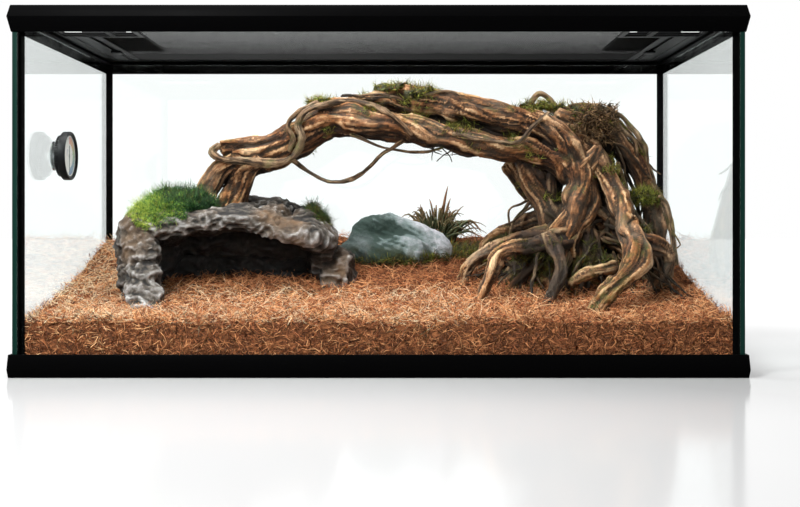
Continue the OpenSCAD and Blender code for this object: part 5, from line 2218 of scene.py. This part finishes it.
@dataclass
class CaveHide:
    """The cave hide: a cast rock shell with sharp, water-worn ridges."""

    voxel: float = 2.0
    # Reach of the rays that paint shade in the cave and under overhangs.
    shelter: float = 170.0
    rough: Roughness = field(default_factory=lambda: Roughness(21))

    def build(self) -> None:
        """Builds the hide."""
        obj = solid_copy("rock_hide")
        rough = self.rough
        points, normals = remesh(obj, self.voxel)
        bent = points + 14 * rough.drift(points / 50, (0.3, 20.3, 40.3))
        worn = 4.2 * rough.ridged(bent / [62, 40, 26], 2)
        worn += 3.0 * rough.ridged(bent / [23, 17, 12] + 5, 2)
        bumps = 2.4 * rough.layered(points / 44, 4) + 0.8 * rough.ridged(bent / [9, 8, 7] + 11, 2)
        push(obj, points, normals, worn * 0.85 + bumps * 0.8 - 3.0)
        paint_hollows(obj, 8, 3.0)
        # Painted shade in the cave and under overhangs.
        paint_shade(obj, self.shelter)
        points, up = points_of(obj), np.clip(normals_of(obj)[:, 2], 0, 1)
        low = np.clip((22 - points[:, 2] + BED_FRONT_Z) / 26, 0, 0.7)
        paint(obj, "moss", low * np.clip(rough.layered(points / 40, 2) + 0.3, 0, 1))
        paint(obj, "tone", np.clip(0.48 + 0.25 * rough.at(points / 60) - 0.28 * up, 0, 1))
        smooth(obj)
        colours = (0.56, 0.54, 0.53), (0.102, 0.083, 0.067), (0.009, 0.007, 0.006)
        rock = Rock("Grey limestone", *colours, (0.18, 0.1, 0.048), 0.7)
        finish_piece(obj, rock.build(), "rock_hide")


@dataclass
class Boulder:
    """Slab of green-grey stone behind the arch."""

    voxel: float = 2.2
    rounding: int = 26
    slant: tuple[Triple, ...] = ((0.9, 0.1, 0.45), (0, 1, 0), (-0.45, 0.1, 0.9))
    rough: Roughness = field(default_factory=lambda: Roughness(33))

    def build(self) -> None:
        """Builds the stone."""
        obj = solid_copy("boulder")
        points = relax(obj, remesh(obj, self.voxel)[0], self.rounding)
        set_points(obj, points)
        slant = points @ np.array(self.slant)
        bumps = 3.2 * self.rough.layered(points / 42, 4)
        bumps += 1.5 * self.rough.ridged(slant / [70, 40, 13], 2)
        push(obj, points, normals_of(obj), bumps + 1.2)
        paint_hollows(obj, 10, 2.5)
        up = relax(obj, normals_of(obj), 6)[:, 2]
        x, _, z = points.T
        # Paler towards the right, the stone's own lilac, and paler on top as painted light.
        paleness_and_light = 0.85 * (x - x.mean()) / (np.ptp(x) / 2) + 0.35 * up
        paleness_and_light += 0.2 * self.rough.layered(points / 26, 3)
        paint(obj, "tone", np.clip(0.04 + 1.15 * paleness_and_light, -0.25, 0.92))
        paint(obj, "moss", np.clip((30 - (z - z.min())) / 24, 0, 0.8))
        paint(obj, "shelter", 0.0)
        smooth(obj)
        colours = (0.6, 0.6, 0.64), (0.22, 0.28, 0.27), (0.026, 0.05, 0.04)
        stone = Rock("Green stone", *colours, (0.4, 0.42, 0.44), 0.3)
        finish_piece(obj, stone.build(), "boulder")


# Moss and plant


def hide_light(points: Array) -> Array:
    """Works out how light the hide's moss is: paler to the left and lower down, as painted light
    across the mound.

    Args:
        points: Corners of the moss.

    Returns:
        The tone of each.
    """
    x, _, z = points.T
    clumps = 0.16 * Roughness(96).layered(points / 11, 2)
    return np.clip(0.46 - (x + 290) / 130 - (z - 205) / 120 + clumps, 0.16, 0.84)


def wood_light(points: Array) -> Array:
    """Returns how light the wood's moss is: darker among the roots, as painted shade."""
    return np.where(points[:, 2] > 200, 0.56, 0.3) + 0.12 * Roughness(95).at(points / 26)


def tuft_light(points: Array) -> Array:
    """Returns how light the tufts on the wood are: darker among the roots, as painted shade."""
    return np.where(points[:, 2] > 200, 0.54, 0.31) + 0.1 * Roughness(94).at(points / 30)


FINE = Strand((4, 12), (0.5, 1.0), 2.4, 2, 0.3)
LOOSE = Strand((4, 15), (0.5, 1.0), 2.2, 2, 0.3)
SPRIG = Strand((9, 21), (0.5, 0.9), 1.2, 2)
FRINGE = Strand((7, 19), (0.7, 1.5), 1.8, 2)


@dataclass
class Moss:
    """Cushion moss on the hide and tufts along the driftwood."""

    voxel: float = 2.2
    green_end: float = -150.0
    mound_strands: int = 11500
    cushion_strands: int = 10500
    skirt_strands: int = 5200
    sprig_strands: int = 2600
    dry_strands: int = 2600
    patch_strands: int = 3400
    foot_strands: int = 3200
    wood_strands: int = 2300
    green_stops: Stops = (
        (0.15, (0.006, 0.032, 0.009)),
        (0.42, (0.028, 0.12, 0.02)),
        (0.66, (0.16, 0.32, 0.035)),
        (0.92, (0.5, 0.6, 0.09)),
    )
    olive_stops: Stops = (
        (0.15, (0.014, 0.012, 0.004)),
        (0.42, (0.07, 0.066, 0.013)),
        (0.66, (0.21, 0.22, 0.026)),
        (0.92, (0.52, 0.53, 0.08)),
    )
    mound: Growth = Growth("Hide_moss", FINE, 53, hide_light, "green_moss", "hide_moss")
    cushions: Growth = Growth("Wood_moss", LOOSE, 54, wood_light, "olive_moss", "wood_moss")
    skirt: Growth = Growth("Hide_moss_skirt", FINE, 99, hide_light, "green_moss", "hide_moss")
    sprigs: Growth = Growth("Hide_moss_sprigs", SPRIG, 100, hide_light, "green_moss", "hide_moss")
    dry: Growth = Growth("Hide_moss_dry", FINE, 106, 0.36, "olive_moss", "hide_moss")
    fringe: Growth = Growth("Stone_fringe", FRINGE, 103, 0.35, "olive_moss", "wood_moss")
    tufts: Growth = Growth("Wood_moss_tufts", LOOSE, 93, tuft_light, "olive_moss", "wood_moss")

    def build(self) -> None:
        """Builds the hide's moss, the wood's and the stone's."""
        green = Greenery("Green moss", self.green_stops, speckle=1.3).build()
        olive = Greenery("Olive moss", self.olive_stops, speckle=0.7).build()
        self._cushion(self.mound, green, self.mound_strands, 3, 4.6, self.green_end)
        self._cushion(self.cushions, olive, self.cushion_strands, 4, 5.5, math.inf)
        self._draped(green)
        self._dry_patch(olive)
        self._fringe(olive)
        self._film(olive)

    def _draped(self, material: Material) -> None:
        """Lets the mound hang over the hide's front edge, with longer sprigs on its crest.

        Args:
            material: The moss material.
        """
        rng = np.random.default_rng(97)
        rock, mound = bpy.data.objects["Rock_hide"], bpy.data.objects["Hide_moss_core"]
        points, normals = points_of(rock), normals_of(rock)
        x, y, z = points.T
        ragged = 0.35 * Roughness(98).layered(points / 16, 2)
        reach = ((x + 306) / 40) ** 2 + ((z - 206) / 25) ** 2 + ragged
        good = np.flatnonzero((reach < 1) & (y < 20) & (normals[:, 2] > -0.25))
        pick = rng.choice(good, self.skirt_strands)
        aims = normals[pick] + 0.6 * rng.normal(size=(len(pick), 3)) + [0, 0, 0.1]
        self.skirt.grow(points[pick], aims, material)
        points, normals = points_of(mound), normals_of(mound)
        pick = rng.integers(0, len(points), self.sprig_strands)
        aims = normals[pick] + 0.5 * rng.normal(size=(len(pick), 3)) + [0, 0, 0.7]
        self.sprigs.grow(points[pick], aims, material)

    def _dry_patch(self, material: Material) -> None:
        """Covers the hide's right shoulder with dry moss.

        Args:
            material: The moss material.
        """
        core = bpy.data.objects["Hide_moss_core"]
        points, normals = points_of(core), normals_of(core)
        rng = np.random.default_rng(105)
        pick = rng.choice(np.flatnonzero(points[:, 0] > self.green_end), self.dry_strands)
        aims = normals[pick] + 0.6 * rng.normal(size=(len(pick), 3))
        self.dry.grow(points[pick], aims, material)

    def _fringe(self, material: Material) -> None:
        """Lays low, dry tufts round the stone's foot and up to the plant.

        Args:
            material: The moss material.
        """
        rng = np.random.default_rng(101)
        x = rng.uniform(46, 168, self.patch_strands)
        y = rng.uniform(112, 172, self.patch_strands) - 0.12 * (x - 46)
        bed = FibreBed()
        clumps = Roughness(102).layered(np.stack([x / 18, y / 18, x * 0], 1), 2)
        patch = np.stack([x, y, bed.height(x, y) + 3 + 9 * np.clip(clumps, 0, 1)], 1)
        stone = points_of(bpy.data.objects["Boulder"])
        foot = stone[abs(stone[:, 2] - bed.height(stone[:, 0], stone[:, 1]) - 3) < 6]
        foot = rng.choice(foot, self.foot_strands)
        foot = foot + rng.normal(size=foot.shape) * [3, 4, 1.5] + [0, -4, 1]
        roots = np.vstack([patch[clumps > -0.15], foot])
        aims = rng.normal(size=(len(roots), 3)) * [0.7, 0.7, 0.3] + [0, -0.1, 0.5]
        self.fringe.grow(roots, aims, material)

    def _film(self, material: Material) -> None:
        """Scatters tufts on the wood wherever its film of moss is thick.

        Args:
            material: The moss material.
        """
        rng = np.random.default_rng(91)
        roots, aims = [], []
        for name in (*WOOD_LIMBS, "Root_tangle"):
            wood = bpy.data.objects[name]
            points, normals = points_of(wood), normals_of(wood)
            patch = Roughness(92).layered(points / 34, 3) + 0.25 * normals[:, 2]
            x, y, height = points[:, 0], points[:, 1], points[:, 2] - BED_FRONT_Z
            among_roots = (x > 150) & (x < 300) & (height < 95) & (abs(y) < 62)
            tall = (height > 150) & (x > -120)
            good = np.flatnonzero((patch > 0.52) & tall | (patch > 0.2) & among_roots)
            pick = rng.choice(good, min(len(good), self.wood_strands))
            roots.append(points[pick])
            aims.append(normals[pick] + 0.6 * rng.normal(size=(len(pick), 3)) + [0, 0, 0.3])
        self.tufts.grow(np.vstack(roots), np.vstack(aims), material)

    def _cushion(
        self, growth: Growth, material: Material, count: int, seed: int, deep: float, end: float
    ) -> None:
        """Covers a CAD moss solid with strands.

        Args:
            growth: The strands.
            material: Their material.
            count: Number of strands.
            seed: Makes the same moss each run.
            deep: Height of the core's lumps.
            end: Where the strands end, to the right.
        """
        core = solid_copy(growth.node, f"{growth.name}_core")
        points, normals = remesh(core, self.voxel)
        on_top = (points[:, 2] > 330) & (growth.node == "wood_moss")
        sunk = np.where(on_top, 1.5, 0.85) * deep
        push(core, points, normals, deep * Roughness(seed).layered(points / 13, 3) - sunk)
        points, normals = points_of(core), normals_of(core)
        # The core is painted darker than its strands, as shade under them.
        paint(core, "tint", 0.2)
        paint(core, "tone", growth.tone(points) - 0.15)
        smooth(core)
        rng = np.random.default_rng(seed)
        pick = rng.choice(np.flatnonzero(points[:, 0] < end), count)
        aims = normals[pick] + 0.55 * rng.normal(size=(count, 3)) + [0, 0, 0.35]
        finish_piece(core, material, growth.node)
        growth.grow(points[pick], aims, material)


@dataclass
class SpikyPlant:
    """Tuft of narrow, pointed leaves with reddish tips."""

    leaves: int = 124
    root: Triple = (81, 176, 152)
    leaf_length: float = 90.0
    stops: Stops = (
        (0.2, (0.03, 0.045, 0.022)),
        (0.45, (0.13, 0.14, 0.07)),
        (0.66, (0.28, 0.15, 0.07)),
        (0.92, (0.42, 0.17, 0.09)),
    )

    def build(self) -> None:
        """Builds the tuft."""
        rng = np.random.default_rng(8)
        tuft = merge([self._leaf(i, rng) for i in range(self.leaves)])
        obj = new_mesh("Spiky_plant", tuft.points, tuft.faces)
        paint(obj, "tint", np.clip((tuft.grain[:, 2] / self.leaf_length) ** 1.5, 0, 1))
        paint(obj, "tone", 0.5)
        smooth(obj)
        finish_piece(obj, Greenery("Spiky leaf", self.stops, 0.4).build(), "plant")

    def _leaf(self, index: int, rng: np.random.Generator) -> Sweep:
        """Grows one leaf: a flat blade that leans out and droops.

        Args:
            index: Its number.
            rng: The plant's random numbers.

        Returns:
            The blade.
        """
        turn = math.radians(137.5 * index)
        part = (index * 7 % 10) / 10 + rng.uniform(-0.05, 0.05)
        tall = 1.2 if index % 11 == 0 else 1.0
        rise = (60 - 34 * part + rng.uniform(-12, 8)) * tall
        foot = np.array([20 * math.cos(2.4 * index), 6 * math.sin(2.4 * index), 0])
        root = np.array(self.root) + foot * rng.uniform(0, 1)
        out = np.array([math.cos(turn), 0.55 * math.sin(turn), 0]) * (14 + 66 * part)
        up = np.array([0, 0, rise])
        droop = (1.25 - 0.5 * part) * rng.uniform(0.55, 1.0)
        wide = rng.uniform(1.2, 2.3)
        rows = [
            (*(root + 0.05 * out - [0, 0, 6]), wide),
            (*(root + 0.3 * out + 0.55 * up), wide * 1.1),
            (*(root + 0.7 * out + 0.95 * up), wide * 0.7),
            (*(root + out + droop * up), 0.3),
        ]
        return sweep(smooth_path(rows, 7.0), 6, index, lambda a, _: 0.3 + 0.8 * abs(np.cos(a)))


# Assembly


def main() -> None:
    """Builds the studio and every sub-assembly in order."""
    logging.basicConfig(level=logging.INFO, format="%(name)s: %(message)s")
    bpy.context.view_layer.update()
    effects, bed = Effects(), FibreBed()
    parts = [Studio(), Tank(effects), Lid(effects), Gauge(effects), bed, CaveHide(), Boulder()]
    parts += [Driftwood(effects), RootTangle(effects, bed), Moss(), SpikyPlant()]
    for assembly in parts:
        LOG.info("building %s", type(assembly).__name__)
        assembly.build()


if __name__ == "__main__":
    main()
